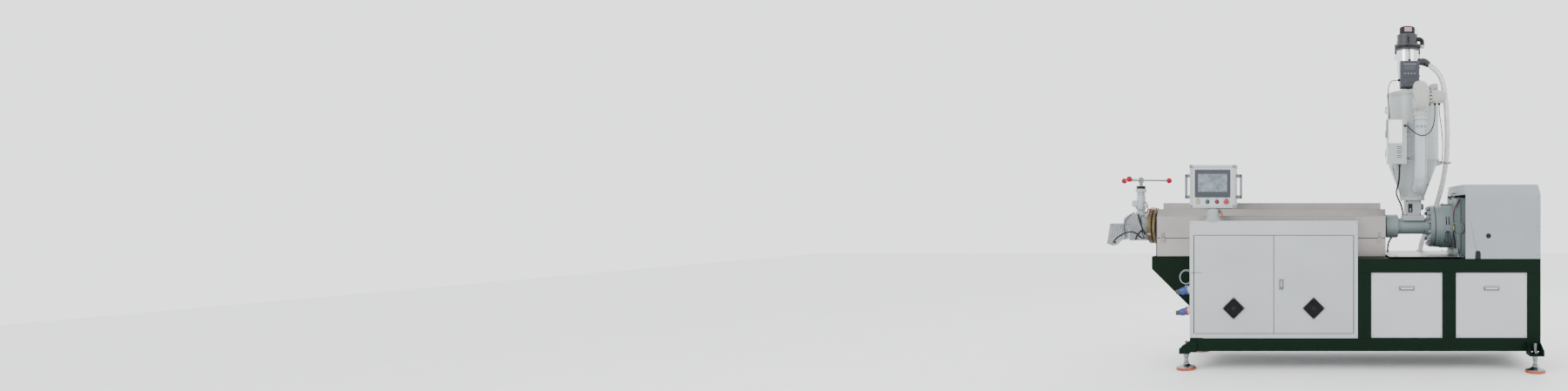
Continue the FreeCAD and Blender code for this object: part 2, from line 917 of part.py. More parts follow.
def door_leaf(edges, hinge_edge, inward):
    """A pan with one rounded corner round the hinge pins."""
    pin_x, pin_y = hinge_axis(hinge_edge, inward)
    rear = bed_front + D.door_thick
    corner = (hinge_edge, pin_x) if inward > 0 else (pin_x, hinge_edge)
    flat = (pin_x, edges[1]) if inward > 0 else (edges[0], pin_x)
    tall = (door_low, door_top)
    leaf = fuse(box(flat, (bed_front, rear), tall), box(corner, (pin_y, rear), tall),
                cylinder("z", (pin_x, pin_y, door_low), D.door_round, door_top - door_low))
    rim = D.door_round * 2 + D.door_sheet
    hollow = box((edges[0] + rim, edges[1] - rim), (bed_front + D.door_sheet, rear),
                 (door_low + rim, door_top - rim))
    hole = D.pin_radius + D.pin_clear
    deep = D.pin_grip
    holes = [cylinder("z", (pin_x, pin_y, door_low), hole, deep),
             cylinder("z", (pin_x, pin_y, door_top - deep), hole, deep)]
    return cut(leaf, hollow, *holes)


def doors():
    keep("left_door", door_leaf(left_door_edges, left_door_edges[0], 1))
    keep("right_door", door_leaf(right_door_edges, right_door_edges[1], -1))
    keep("left_door_fan", fan_guard((left_door_edges[0] + left_door_edges[1]) / 2))
    keep("right_door_fan", fan_guard((right_door_edges[0] + right_door_edges[1]) / 2))
    latch_left = right_door_edges[0] + D.latch_in - D.latch_width / 2
    latch_low = (door_low + door_top) / 2 - D.latch_height / 2
    keep("door_latch", box((latch_left, latch_left + D.latch_width),
                           (bed_front - D.latch_proud, bed_front),
                           (latch_low, latch_low + D.latch_height)))


def door_pins():
    pins = []
    length = D.door_gap + D.pin_grip - D.pin_clear
    for edge, inward in ((left_door_edges[0], 1), (right_door_edges[1], -1)):
        pin_x, pin_y = hinge_axis(edge, inward)
        pins.append(cylinder("z", (pin_x, pin_y, door_room_low), D.pin_radius, length))
        pins.append(cylinder("z", (pin_x, pin_y, door_room_top - length), D.pin_radius, length))
    return pins


def fan_guard(middle):
    """A square fan guard, set on its corner."""
    half = D.fan_side * math.sqrt(0.5)
    height = door_low + D.fan_rise
    outline = [(middle - half, height), (middle, height - half),
               (middle + half, height), (middle, height + half)]
    return prism("XZ_Plane", outline, bed_front - D.fan_proud, D.fan_proud)


def power_sockets():
    """Two round sockets with their plugs, pointing out from the cabinet's side."""
    middle = (bed_front + cabinet_rear) / 2
    sockets = []
    for rise in (D.socket_high, D.socket_low):
        height = bottom_rail_top + rise
        sockets.append(fuse(
            cylinder((-1, 0, 0), (frame_left, middle, height), D.socket_radius, D.socket_long),
            cylinder((-1, 0, 0), (frame_left - D.socket_long, middle, height),
                     D.plug_radius, D.plug_long)))
    keep("power_sockets", group(*sockets))


# ---------------------------------------------------------------- operator panel

def operator_panel():
    deep = (panel_front, panel_rear)
    stem_low = cabinet_top + D.neck_tall - D.stem_long + D.pin_clear
    stem = cylinder("z", (panel_x, panel_y, stem_low), D.stem_radius, panel_low - stem_low)
    whole = box((panel_left, panel_right), deep, (panel_low, panel_low + D.panel_height))
    keep("panel_housing", fuse(whole, stem))
    screen_low = panel_low + D.screen_rise
    half = D.screen_width / 2
    keep("panel_screen", box((panel_x - half, panel_x + half),
                             (panel_front - D.screen_proud, panel_front),
                             (screen_low, screen_low + D.screen_height)))
    button_z = panel_low + D.button_rise
    lamps = [cylinder("y", (panel_x + D.button_pitch * place, panel_front - D.button_proud,
                            button_z), D.button_radius, D.button_proud)
             for place in (-1.5, -0.5, 0.5)]
    mushroom = cylinder("y", (panel_x + D.button_pitch * 1.5, panel_front - D.mushroom_proud,
                              button_z), D.mushroom_radius, D.mushroom_proud)
    keep("panel_buttons", group(*lamps, mushroom))
    keep("panel_grips", group(side_grip(panel_left, -1), side_grip(panel_right, 1)))


def side_grip(face, outward):
    """A bow handle on the panel's side."""
    low = panel_low + D.grip_rise
    top = low + D.grip_height
    tip = face + outward * (D.grip_arm + D.grip_bar)
    inner = face + outward * D.grip_arm
    arm_x = (tip, face) if outward < 0 else (face, tip)
    bar_x = (tip, inner) if outward < 0 else (inner, tip)
    deep = (panel_y - D.grip_tab / 2, panel_y + D.grip_tab / 2)
    return fuse(box(arm_x, deep, (low, low + D.grip_bar)),
                box(arm_x, deep, (top - D.grip_bar, top)),
                box(bar_x, deep, (low, top)))


def panel_neck():
    """The fixed post on the cabinet, with its clamp lever; the panel's stem turns in it."""
    top = cabinet_top + D.neck_tall
    lever_z = cabinet_top + D.neck_tall / 2
    post = fuse(cylinder("z", (panel_x, panel_y, cabinet_top), D.neck_flange, D.neck_flange_tall),
                cylinder("z", (panel_x, panel_y, cabinet_top), D.neck_radius, D.neck_tall),
                cylinder("x", (panel_x, panel_y, lever_z), D.lever_radius,
                         D.neck_radius + D.lever_long))
    bore = cylinder("z", (panel_x, panel_y, top - D.stem_long), D.stem_radius + D.pin_clear,
                    D.stem_long)
    keep("panel_post", cut(post, bore))


# ---------------------------------------------------------------- barrel and its cover

def barrel():
    start = die_ring_left + D.ring_length
    axis = (D.axis_y, axis_z)
    keep("barrel", cylinder("x", (start, *axis), D.barrel_radius, collar_left - start))
    bands = []
    for number in range(9):
        left = D.hood_left + D.band_first + D.band_pitch * number
        outer = cylinder("x", (left, *axis), D.band_radius, D.band_width)
        inner = cylinder("x", (left, *axis), D.barrel_radius, D.band_width)
        bands.append(cut(outer, inner))
    keep("heater_bands", group(*bands))


def barrel_supports():
    """Two cradles that carry the barrel."""
    half = D.support_width / 2
    supports = []
    for left in (D.hood_left + D.support_in, hood_right - D.support_in - D.support_thick):
        block = box((left, left + D.support_thick), (D.axis_y - half, D.axis_y + half),
                    (D.bed_top, axis_z))
        supports.append(cut(block, cylinder("x", (left, D.axis_y, axis_z), D.barrel_radius,
                                            D.support_thick)))
    return supports


def hood_tray():
    sheet = D.hood_sheet
    whole = box((D.hood_left, hood_right), (hood_front, hood_rear), (D.bed_top, split))
    room = box((D.hood_left + sheet, hood_right - sheet), (hood_front + sheet, hood_rear - sheet),
               (D.bed_top + sheet, split))
    keep("hood_tray", fuse(cut(whole, room), *barrel_supports(), *toggle_keepers(),
                           *fixed_leaves()))


def hood():
    """The hinged upper cover, open below, with a slot at each end for the barrel."""
    slope = D.hood_slope
    sheet = D.hood_sheet
    corner = sheet * math.tan(math.radians(22.5))
    outside = [(hood_front, hood_low), (hood_front, hood_eave), (hood_front + slope, hood_top),
               (hood_rear - slope, hood_top), (hood_rear, hood_eave), (hood_rear, hood_low)]
    inside = [(hood_front + sheet, hood_low), (hood_front + sheet, hood_eave - corner),
              (hood_front + slope + corner, hood_top - sheet),
              (hood_rear - slope - corner, hood_top - sheet),
              (hood_rear - sheet, hood_eave - corner), (hood_rear - sheet, hood_low)]
    shell = prism("YZ_Plane", outside, D.hood_left, D.hood_length)
    room = prism("YZ_Plane", inside, D.hood_left + sheet, D.hood_length - sheet * 2)
    half = D.barrel_radius + D.slot_room
    slot = box((D.hood_left, hood_right), (D.axis_y - half, D.axis_y + half),
               (hood_low, axis_z))
    arch = cylinder("x", (D.hood_left, D.axis_y, axis_z), half, D.hood_length)
    half_lid = D.lid_width / 2
    top_box = box((D.hood_left + D.lid_inset, hood_right - D.lid_inset),
                  (D.axis_y - half_lid, D.axis_y + half_lid),
                  (hood_top, hood_top + D.lid_height))
    keep("hood", fuse(cut(shell, room, slot, arch), top_box, *moving_leaves()))


def toggle_places():
    return D.hood_left + D.toggle_in, hood_right - D.toggle_in


def hood_toggles():
    half = D.toggle_width / 2
    deep = (hood_front - D.toggle_proud, hood_front)
    levers = [box((x - half, x + half), deep, (hood_low + 1, hood_low + D.toggle_tall))
              for x in toggle_places()]
    keep("toggle_levers", group(*levers))


def toggle_keepers():
    """The catches on the tray that the toggles pull on."""
    half = D.toggle_width / 2
    deep = (hood_front - D.toggle_proud, hood_front)
    return [box((x - half, x + half), deep, (split - D.toggle_tall, split - 1))
            for x in toggle_places()]


def hinge_places():
    leaf = D.hinge_leaf
    return (D.hood_left + D.hinge_in, (D.hood_left + hood_right) / 2 - leaf,
            hood_right - D.hinge_in - leaf * 2)


def moving_leaves():
    """The hood's half of its three rear hinges."""
    leaf = D.hinge_leaf
    leaves = []
    for x in hinge_places():
        centre = (x, hinge_y, hinge_z)
        plate = box((x, x + leaf), (hood_rear, hood_rear + D.hood_sheet),
                    (hinge_z + 1, hinge_z + leaf / 2))
        whole = fuse(cylinder("x", centre, D.hinge_knuckle, leaf), plate)
        leaves.append(cut(whole, cylinder("x", centre, D.hinge_pin + D.hinge_clear, leaf)))
    return leaves


def fixed_leaves():
    """The tray's half, with the pins."""
    leaf = D.hinge_leaf
    leaves = []
    for x in hinge_places():
        second = x + leaf + D.hinge_clear
        plate = box((second, second + leaf), (hood_rear, hood_rear + D.hood_sheet),
                    (hinge_z - leaf / 2, hinge_z - 1))
        leaves.append(fuse(
            cylinder("x", (second, hinge_y, hinge_z), D.hinge_knuckle, leaf), plate,
            cylinder("x", (x, hinge_y, hinge_z), D.hinge_pin, leaf * 2)))
    return leaves


# ---------------------------------------------------------------- feed end and gearbox

def feed_end():
    axis = (D.axis_y, axis_z)
    keep("feed_cylinder", fuse(
        cylinder("x", (collar_left, *axis), D.collar_radius, D.collar_length),
        cylinder("x", (feed_left, *axis), D.feed_radius, D.feed_length)))
    half = D.seat_width / 2
    deep = D.seat_depth / 2
    seat = box((hopper_x - half, hopper_x + half), (D.axis_y - deep, D.axis_y + deep),
               (seat_low, seat_top))
    under = cylinder("x", (feed_left, *axis), D.feed_radius, D.feed_length)
    keep("hopper_seat", cut(seat, under, throat(seat_low, seat_top)))
    side = D.block_width / 2
    block = box((hopper_x - side, hopper_x + side), (D.axis_y - side, D.axis_y + side),
                (seat_top, block_top))
    keep("magnet_block", cut(block, throat(seat_top, block_top)))


def throat(low, top):
    """The way that the pellets fall."""
    return cylinder("z", (hopper_x, D.axis_y, low), D.throat_radius, top - low)


def gearbox():
    axis = (D.axis_y, axis_z)
    keep("gearbox_lantern", fuse(
        cylinder("x", (gear_flange, *axis), D.flange_radius, D.flange_length),
        cylinder("x", (lantern_left, *axis), D.lantern_radius, D.lantern_length)))
    half = D.gear_width / 2
    keep("gearbox_case", box((gear_left, gear_left + D.gear_length),
                             (D.axis_y - half, D.axis_y + half), (D.bed_top, gear_top)))


def gearbox_cover():
    """A sheet cover, open below and at its left end under a strip."""
    sheet = D.cover_sheet
    slope = D.cover_slope
    eave = D.bed_top + D.cover_side
    top = eave + slope
    corner = sheet * math.tan(math.radians(22.5))
    outside = [(bed_front, D.bed_top), (bed_rear, D.bed_top), (bed_rear, eave),
               (bed_rear - slope, top), (bed_front + slope, top), (bed_front, eave)]
    inside = [(bed_front + sheet, D.bed_top), (bed_rear - sheet, D.bed_top),
              (bed_rear - sheet, eave - corner), (bed_rear - slope - corner, top - sheet),
              (bed_front + slope + corner, top - sheet), (bed_front + sheet, eave - corner)]
    length = D.bed_right - cover_left
    shell = prism("YZ_Plane", outside, cover_left, length)
    room = prism("YZ_Plane", inside, cover_left + sheet, length - sheet * 2)
    mouth = box((cover_left, cover_left + sheet), (bed_front + sheet, bed_rear - sheet),
                (D.bed_top, top - D.cover_strip))
    hole = cylinder("y", (cover_left + D.hole_in, bed_front, D.bed_top + D.hole_rise),
                    D.cover_hole, sheet)
    notch_left = cover_left + D.notch_in
    half = D.notch_width / 2
    notch = box((notch_left, notch_left + D.notch_width), (bed_front, bed_front + sheet),
                (D.bed_top, D.bed_top + D.notch_tall))
    arch = cylinder("y", (notch_left + half, bed_front, D.bed_top + D.notch_tall), half, sheet)
    keep("gearbox_cover", cut(shell, room, mouth, hole, notch, arch))


# ---------------------------------------------------------------- hopper dryer

def hopper():
    sheet = D.hopper_sheet
    radius = D.hopper_radius
    cone_outline = [(D.hopper_neck - sheet, 0), (D.hopper_neck, 0), (radius, D.cone_tall),
                    (radius - sheet, D.cone_tall)]
    plate = cylinder("z", (hopper_x, D.axis_y, block_top), D.plate_radius, D.plate_tall)
    wall = turned(cone_outline, hopper_x, D.axis_y, cone_low)
    keep("hopper_cone", fuse(wall, cut(plate, throat(block_top, cone_low)), hose_bracket()))
    wall_outline = [(radius - sheet, 0), (radius, 0), (radius, D.hopper_tall),
                    (radius - sheet, D.hopper_tall)]
    barrel_wall = turned(wall_outline, hopper_x, D.axis_y, cone_top)
    keep("hopper_lid", cylinder("z", (hopper_x, D.axis_y, hopper_top), radius + D.lid_over,
                                D.lid_thick))
    band_outline = [(radius, 0), (radius + D.band_over, 0), (radius + D.band_over, D.band_tall),
                    (radius, D.band_tall)]
    keep("hopper_wall", fuse(barrel_wall, turned(band_outline, hopper_x, D.axis_y, cone_top)))


def blower():
    """The hot-air blower in front of the hopper: its axis runs left to right."""
    left = blower_x - D.volute_thick / 2
    right = left + D.volute_thick
    centre = (blower_y, blower_z)
    keep("blower_volute", cylinder("x", (left, *centre), D.volute_radius, D.volute_thick))
    low = blower_z - D.motor_radius - D.gland_long
    ends = [(right + D.vent_length + place, blower_y, low)
            for place in (D.blower_cord_in, D.sensor_cord_in)]
    keep("blower_motor", fuse(
        cylinder("x", (right, *centre), D.vent_radius, D.vent_length),
        cylinder("x", (right + D.vent_length, *centre), D.motor_radius, D.motor_length),
        *[cylinder("z", end, D.gland_radius, D.gland_long + D.gland_sink) for end in ends]))
    PLACES["blower_cable"].append(ends[0])
    PLACES["sensor_cable"].insert(0, ends[1])


def hot_air_pipe():
    """From under the blower down to an elbow into the cone."""
    top = blower_z - D.volute_radius + D.pipe_lap
    bend_z = pipe_low + D.pipe_radius + D.pipe_bend
    centre = (blower_x, blower_y + D.pipe_bend, bend_z)
    down = cylinder("z", (blower_x, blower_y, bend_z), D.pipe_radius, top - bend_z)
    turn = elbow(centre, D.pipe_bend, D.pipe_radius,
                 Rotation(Vector(0, 1, 0), Vector(0, 0, 1), Vector(1, 0, 0)).multiply(
                     Rotation(Vector(0, 0, 1), 180)))
    level = cylinder("y", (blower_x, blower_y + D.pipe_bend, bend_z - D.pipe_bend),
                     D.pipe_radius, D.axis_y - blower_y - D.pipe_bend)
    volute = cylinder("x", (blower_x - D.volute_thick / 2, blower_y, blower_z),
                      D.volute_radius, D.volute_thick)
    cone_body = cone("z", (hopper_x, D.axis_y, cone_low), D.hopper_neck, D.hopper_radius,
                     D.cone_tall)
    keep("hot_air_pipe", cut(fuse(down, turn, level), volute, cone_body))


def heater_box():
    """The heater's casing on the hopper's left, with the half-round chamber beside it."""
    right = heater_left + D.heater_width
    rear = D.axis_y - D.hopper_radius + D.heater_nest
    front = rear - D.heater_depth
    top = heater_low + D.heater_tall
    case = box((heater_left, right), (front, rear), (heater_low, top))
    wall = cylinder("z", (hopper_x, D.axis_y, cone_top), D.hopper_radius, D.hopper_tall)
    low = heater_low + D.heater_tall / 2
    link = box((right - D.heater_link, right), (rear, D.axis_y), (low, low + D.heater_link))
    chamber_y = D.axis_y - D.hopper_radius + D.chamber_radius / 2
    chamber = cylinder("z", (right + D.chamber_in, chamber_y, cone_top + D.band_tall),
                       D.chamber_radius, D.chamber_tall)
    shell = cylinder("z", (hopper_x, D.axis_y, cone_top), D.hopper_radius + D.band_over,
                     D.hopper_tall)
    out_end = (right - D.blower_cord_side, front - D.gland_long, top - D.blower_cord_drop)
    feed_end_place = (heater_left + D.supply_cord_in, front + D.heater_depth / 2,
                      heater_low - D.gland_long)
    top_end = (heater_left + D.controller_cord_in, rear - D.controller_cord_in, top)
    keep("heater_box", fuse(case, cut(chamber, shell), cut(link, wall), gland("y", out_end),
                            gland("z", feed_end_place), gland("z", top_end)))
    PLACES["blower_cable"].insert(0, out_end)
    PLACES["supply_cable"].insert(0, feed_end_place)
    PLACES["controller_cable"].append((top_end[0], top_end[1], top + D.gland_long))


def return_pipe():
    """A pipe that rises from the lid and turns away to the right."""
    bend_z = lid_top + D.return_rise
    rise = cylinder("z", (return_x, D.axis_y, lid_top), D.return_radius, D.return_rise)
    turn = elbow((return_x + D.return_bend, D.axis_y, bend_z), D.return_bend,
                 D.return_radius, Rotation(Vector(1, 0, 0), 90).multiply(
                     Rotation(Vector(0, 0, 1), 90)))
    level = cylinder("x", (return_x + D.return_bend, D.axis_y, bend_z + D.return_bend),
                     D.return_radius, D.return_end)
    keep("return_pipe", fuse(rise, turn, level))


def hose_bracket():
    """A shelf on the cone's top that steadies the hose."""
    wall = cone("z", (hopper_x, D.axis_y, cone_low), D.hopper_neck, D.hopper_radius,
                D.cone_tall)
    near = hopper_x + D.hopper_neck
    tip = hopper_x + D.hopper_radius + D.shelf_reach
    top = cone_top - D.shelf_drop + D.shelf_tall
    low = top - D.shelf_tall
    front = D.axis_y - D.shelf_front
    outline = [(near, low - D.shelf_slope), (tip, low), (tip, top), (near, top)]
    PLACES["sensor_cable"].append((tip - D.shelf_front, front, low + D.shelf_tall / 2))
    return cut(prism("XZ_Plane", outline, front, D.shelf_width), wall)


# ---------------------------------------------------------------- vacuum loader

def loader():
    """The vacuum loader's vessel and head on the lid."""
    foot = (loader_x, D.axis_y)
    inlet = (loader_x + D.loader_radius + D.inlet_length, D.axis_y,
             loader_top - D.inlet_drop)
    keep("loader_vessel", fuse(
        cone("z", (*foot, lid_top), D.loader_foot, D.loader_radius, D.loader_cone),
        cylinder("z", (*foot, loader_low), D.loader_radius, D.loader_tall),
        cylinder("x", (loader_x, *inlet[1:]), D.inlet_radius,
                 D.loader_radius + D.inlet_length),
        ball(inlet, D.inlet_radius),
        cylinder(INLET_WAY, inlet, D.inlet_radius, D.inlet_spigot)))
    PLACES["suction_hose"].insert(0, tuple(place + D.inlet_spigot * way
                                           for place, way in zip(inlet, INLET_WAY)))
    outlet_z = ring_top + D.housing_tall / 2
    outlet_length = D.housing_radius + D.outlet_proud
    side = cylinder("x", (*foot, outlet_z), D.outlet_radius, outlet_length)
    turn = elbow((loader_x + outlet_length, D.axis_y, outlet_z - D.outlet_bend),
                 D.outlet_bend, D.outlet_radius, Rotation(Vector(1, 0, 0), 90))
    head_end = (loader_x, D.axis_y - D.housing_radius - D.gland_long,
                housing_top - D.head_cord_drop)
    keep("loader_head", fuse(
        cylinder("z", (*foot, loader_top), D.ring_radius, D.ring_tall),
        cylinder("z", (*foot, ring_top), D.housing_radius, D.housing_tall),
        cylinder("z", (*foot, housing_top), D.top_radius, D.top_tall), side, turn,
        cylinder("y", head_end, D.gland_radius, D.gland_long + D.gland_sink)))
    PLACES["head_cable"].insert(0, head_end)


def loader_controller():
    """The control box that hangs in front of the loader's vessel."""
    half = D.controller_width / 2
    rear = D.axis_y - D.loader_radius
    front = rear - D.controller_depth
    low = lid_top + D.controller_rise
    top = low + D.controller_tall
    side_end = (loader_x - half - D.gland_long, front + D.controller_depth / 2,
                low + D.controller_cord_rise)
    top_end = (loader_x, front + D.gland_radius * 2, top)
    keep("loader_controller", fuse(
        box((loader_x - half, loader_x + half), (front, rear), (low, top)),
        gland("x", side_end), gland("z", top_end)))
    PLACES["controller_cable"].insert(0, side_end)
    PLACES["head_cable"].append((*top_end[:2], top + D.gland_long))


# ---------------------------------------------------------------- die end

def die_end():
    axis = (D.axis_y, axis_z)
    keep("barrel_flange", fuse(
        cylinder("x", (die_ring_left, *axis), D.clamp_radius, D.ring_length),
        cylinder("x", (clamp_left, *axis), D.clamp_radius - D.clamp_step, D.clamp_length)))
    slope = D.die_slope
    front = D.axis_y - D.die_width / 2
    outline = [(die_left, die_step_z), (die_left + D.die_step, die_step_z),
               (die_left + D.die_step, die_low), (clamp_left, die_low),
               (clamp_left, die_top), (die_left + slope, die_top),
               (die_left, die_top - slope * D.die_chamfer)]
    plug_end = (clamp_left - D.die_cord_in, front - D.gland_long, die_low + D.die_cord_rise)
    sensor_start = (clamp_left - D.die_sensor_in, front - D.gland_long,
                    die_top - D.die_sensor_drop)
    sensor_end = (clamp_left - D.die_sensor_side - D.gland_radius, front - D.gland_long,
                  die_low + D.die_cord_rise)
    keep("die_block", fuse(prism("XZ_Plane", outline, front, D.die_width),
                           gland("y", plug_end), gland("y", sensor_start),
                           gland("y", sensor_end)))
    nozzle_outline = [
        (die_left, die_low + D.nozzle_lip),
        (die_left, die_step_z + D.nozzle_shoulder),
        (nozzle_left + D.nozzle_top_in, die_step_z + D.nozzle_shoulder),
        (nozzle_left, die_low - D.nozzle_tip_drop * D.nozzle_tip_slant),
        (nozzle_left + D.nozzle_tip_width, die_low - D.nozzle_tip_drop),
        (nozzle_left + D.nozzle_foot, die_low)]
    nozzle_front = D.axis_y - D.nozzle_width / 2
    nozzle_end = (nozzle_left + D.nozzle_cord_in, nozzle_front - D.gland_long,
                  die_low - D.nozzle_cord_rise)
    keep("nozzle_block", fuse(prism("XZ_Plane", nozzle_outline, nozzle_front, D.nozzle_width),
                              gland("y", nozzle_end)))
    PLACES["nozzle_cable"] += [nozzle_end, plug_end]
    PLACES["die_sensor_cable"] += [sensor_start, sensor_end]


def valve():
    """The throttle valve's fixed column and its turning star handle."""
    centre = (column_x, D.axis_y)
    bore_low = column_top - D.spindle_deep
    bore = D.spindle_radius + D.spindle_clear
    column = cylinder("z", (*centre, die_top), D.column_radius, column_top - die_top)
    ring = cylinder("z", (*centre, column_top), D.nut_ring_radius, D.nut_ring_tall)
    cap = cylinder("z", (*centre, nut_ring_top), D.cap_radius, D.cap_tall)
    keep("valve_column", cut(fuse(column, ring, cap), cylinder("z", (*centre, bore_low), bore,
                                                               cap_top - bore_low)))
    spindle_low = bore_low + D.spindle_clear
    spindle = cylinder("z", (*centre, spindle_low), D.spindle_radius, hub_low - spindle_low)
    spokes = []
    balls = []
    spoke_z = hub_low + D.hub_tall / 2
    for turn in (0, 120, 240):
        angle = math.radians(SIZES["spoke_turn"] + turn)
        way = (math.cos(angle), math.sin(angle), 0)
        reach = D.spoke_reach
        spokes.append(cylinder(way, (*centre, spoke_z), D.spoke_radius, reach - D.ball_radius / 2))
        at = (column_x + reach * way[0], D.axis_y + reach * way[1], spoke_z)
        balls.append(cut(ball(at, D.ball_radius),
                         cylinder(way, (*centre, spoke_z), D.spoke_radius,
                                  reach - D.ball_radius / 2)))
    hub = cylinder("z", (*centre, hub_low), D.hub_radius, D.hub_tall)
    keep("star_handle", fuse(hub, spindle, *spokes))
    keep("handle_balls", group(*balls))
    column_face = column_x - D.column_radius + D.terminal_lap
    low = die_top + D.terminal_rise
    half = D.terminal_depth / 2
    block = box((column_face - D.terminal_width, column_face + D.terminal_lap),
                (D.axis_y - half, D.axis_y + half), (low, low + D.terminal_tall))
    keep("terminal_box", cut(block, cylinder("z", (*centre, die_top), D.column_radius,
                                             column_top - die_top)))


# ---------------------------------------------------------------- hose and cables

def suction_lance():
    """The lance in its clips behind the bed: the hose draws pellets up through it."""
    centre = (lance_x, lance_y)
    lance = cylinder("z", (*centre, lance_top - D.lance_length), D.lance_radius,
                     D.lance_length)
    half = D.clip_width / 2
    clips = [box((lance_x - half, lance_x + half), (bed_rear, lance_y + D.clip_tall / 2),
                 (low, low + D.clip_tall))
             for low in (bottom_rail_top - D.clip_tall, top_rail_low + D.lance_radius)]
    keep("suction_lance", fuse(lance, *clips))
    PLACES["suction_hose"].append((*centre, lance_top))


def cords():
    """The hose and the cables, each from its first place to its last."""
    for name, (radius, leaving, arriving) in CORDS.items():
        points = [tuple(value_of(size) + move for size, move in zip(place, offset))
                  for place, offsets in zip(PLACES[name], (leaving, arriving))
                  for offset in offsets]
        print(name, [tuple(round(size, 1) for size in point) for point in points])
        keep(name, tube(points, radius))


def check(name, shape):
    if shape.isNull() or not shape.isValid():
        raise ValueError("%s has no valid shape" % name)


def build():
    base_rails()
    cross_rails()
    posts()
    bed_plate()
    bed_wing()
    bay_panels()
    levelling_feet()
    cabinet()
    doors()
    power_sockets()
    operator_panel()
    panel_neck()
    barrel()
    hood_tray()
    hood()
    hood_toggles()
    feed_end()
    gearbox()
    gearbox_cover()
    hopper()
    blower()
    hot_air_pipe()
    heater_box()
    return_pipe()
    loader()
    loader_controller()
    die_end()
    valve()
    suction_lance()
    cords()
    DOC.recompute()
    for item in DOC.Objects:
        if "Invalid" in item.State or "Error" in item.State:
            raise ValueError("%s (%s) failed to compute" % (item.Label, item.Name))
    for name, item in NODES.items():
        check(name, item.Shape)
    os.makedirs("parts", exist_ok=True)
    for name, item in NODES.items():
        item.Shape.exportStep("parts/%s.step" % name)
    print("%d sub-parts" % len(NODES))


build()
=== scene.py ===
import json
from math import cos, pi, radians, sin, sqrt

import bmesh
import bpy
from mathutils import Matrix, Vector

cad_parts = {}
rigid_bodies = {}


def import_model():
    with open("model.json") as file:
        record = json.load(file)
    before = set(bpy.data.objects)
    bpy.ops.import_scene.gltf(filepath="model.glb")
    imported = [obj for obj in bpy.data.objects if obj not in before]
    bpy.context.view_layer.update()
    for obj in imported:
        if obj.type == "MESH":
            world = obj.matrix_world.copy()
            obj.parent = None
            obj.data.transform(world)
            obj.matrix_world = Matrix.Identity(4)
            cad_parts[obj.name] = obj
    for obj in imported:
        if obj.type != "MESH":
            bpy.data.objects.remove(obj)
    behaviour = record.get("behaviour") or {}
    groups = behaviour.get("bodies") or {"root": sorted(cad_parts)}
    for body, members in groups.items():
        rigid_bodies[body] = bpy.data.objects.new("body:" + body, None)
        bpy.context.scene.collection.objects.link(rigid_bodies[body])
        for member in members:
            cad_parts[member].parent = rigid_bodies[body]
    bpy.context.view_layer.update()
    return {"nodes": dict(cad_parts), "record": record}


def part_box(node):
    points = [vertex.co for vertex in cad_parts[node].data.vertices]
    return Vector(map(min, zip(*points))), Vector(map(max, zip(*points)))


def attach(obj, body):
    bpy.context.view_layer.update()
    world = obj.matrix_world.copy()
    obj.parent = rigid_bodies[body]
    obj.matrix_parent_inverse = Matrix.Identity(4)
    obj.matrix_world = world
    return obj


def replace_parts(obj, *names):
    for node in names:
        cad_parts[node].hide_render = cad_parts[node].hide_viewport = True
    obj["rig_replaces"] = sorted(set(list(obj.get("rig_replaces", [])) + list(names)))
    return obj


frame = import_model()
MM = 0.001
FRONT, REAR = (0, -1, 0), (0, 1, 0)
LEFT, RIGHT = (-1, 0, 0), (1, 0, 0)
UP, DOWN = (0, 0, 1), (0, 0, -1)
SHARP_EDGE = 38            # degrees between two faces, above which their edge shows as sharp
BARREL_Y, BARREL_Z = 50, 1095      # the line of the screw, in millimetres

# ---- camera

camera_data = bpy.data.cameras.new("camera")
camera_data.sensor_width = 36
camera_data.lens = 16.5
camera_data.shift_x = -0.3444
camera_data.shift_y = 0.0086
camera = bpy.data.objects.new("camera", camera_data)
bpy.context.collection.objects.link(camera)
camera.location = (0.066, -5.91, 1.237)
camera.rotation_euler = (radians(90), 0, 0)
bpy.context.scene.camera = camera


# ---- materials

def nodes_of(name):
    made = bpy.data.materials.new(name)
    made.use_nodes = True
    tree = made.node_tree
    return made, tree, tree.nodes["Principled BSDF"]


def noise(tree, scale, detail=3.0, stretch=(1, 1, 1)):
    """Noise in each piece's own coordinates, so that its grain keeps its real size."""
    where = tree.nodes.new("ShaderNodeTexCoord")
    mapping = tree.nodes.new("ShaderNodeMapping")
    mapping.inputs["Scale"].default_value = stretch
    cloud = tree.nodes.new("ShaderNodeTexNoise")
    cloud.inputs["Scale"].default_value = scale
    cloud.inputs["Detail"].default_value = detail
    tree.links.new(where.outputs["Object"], mapping.inputs["Vector"])
    tree.links.new(mapping.outputs["Vector"], cloud.inputs["Vector"])
    return cloud.outputs["Fac"]


def spread(tree, value, low, high):
    ranged = tree.nodes.new("ShaderNodeMapRange")
    ranged.inputs["From Min"].default_value = 0.3
    ranged.inputs["From Max"].default_value = 0.7
    ranged.inputs["To Min"].default_value = low
    ranged.inputs["To Max"].default_value = high
    tree.links.new(value, ranged.inputs["Value"])
    return ranged.outputs["Result"]


def between(tree, amount, first, second):
    mix = tree.nodes.new("ShaderNodeMix")
    mix.data_type = "RGBA"
    mix.inputs["A"].default_value = (*first, 1)
    mix.inputs["B"].default_value = (*second, 1)
    tree.links.new(amount, mix.inputs["Factor"])
    return mix.outputs["Result"]


def tinted(colour, by):
    return tuple(min(1.0, channel * by) for channel in colour)


BRIGHT = ("floor", "white", "mirror")
STUDIO_SHADE = 0.68        # darkens the listed paints for the bright studio
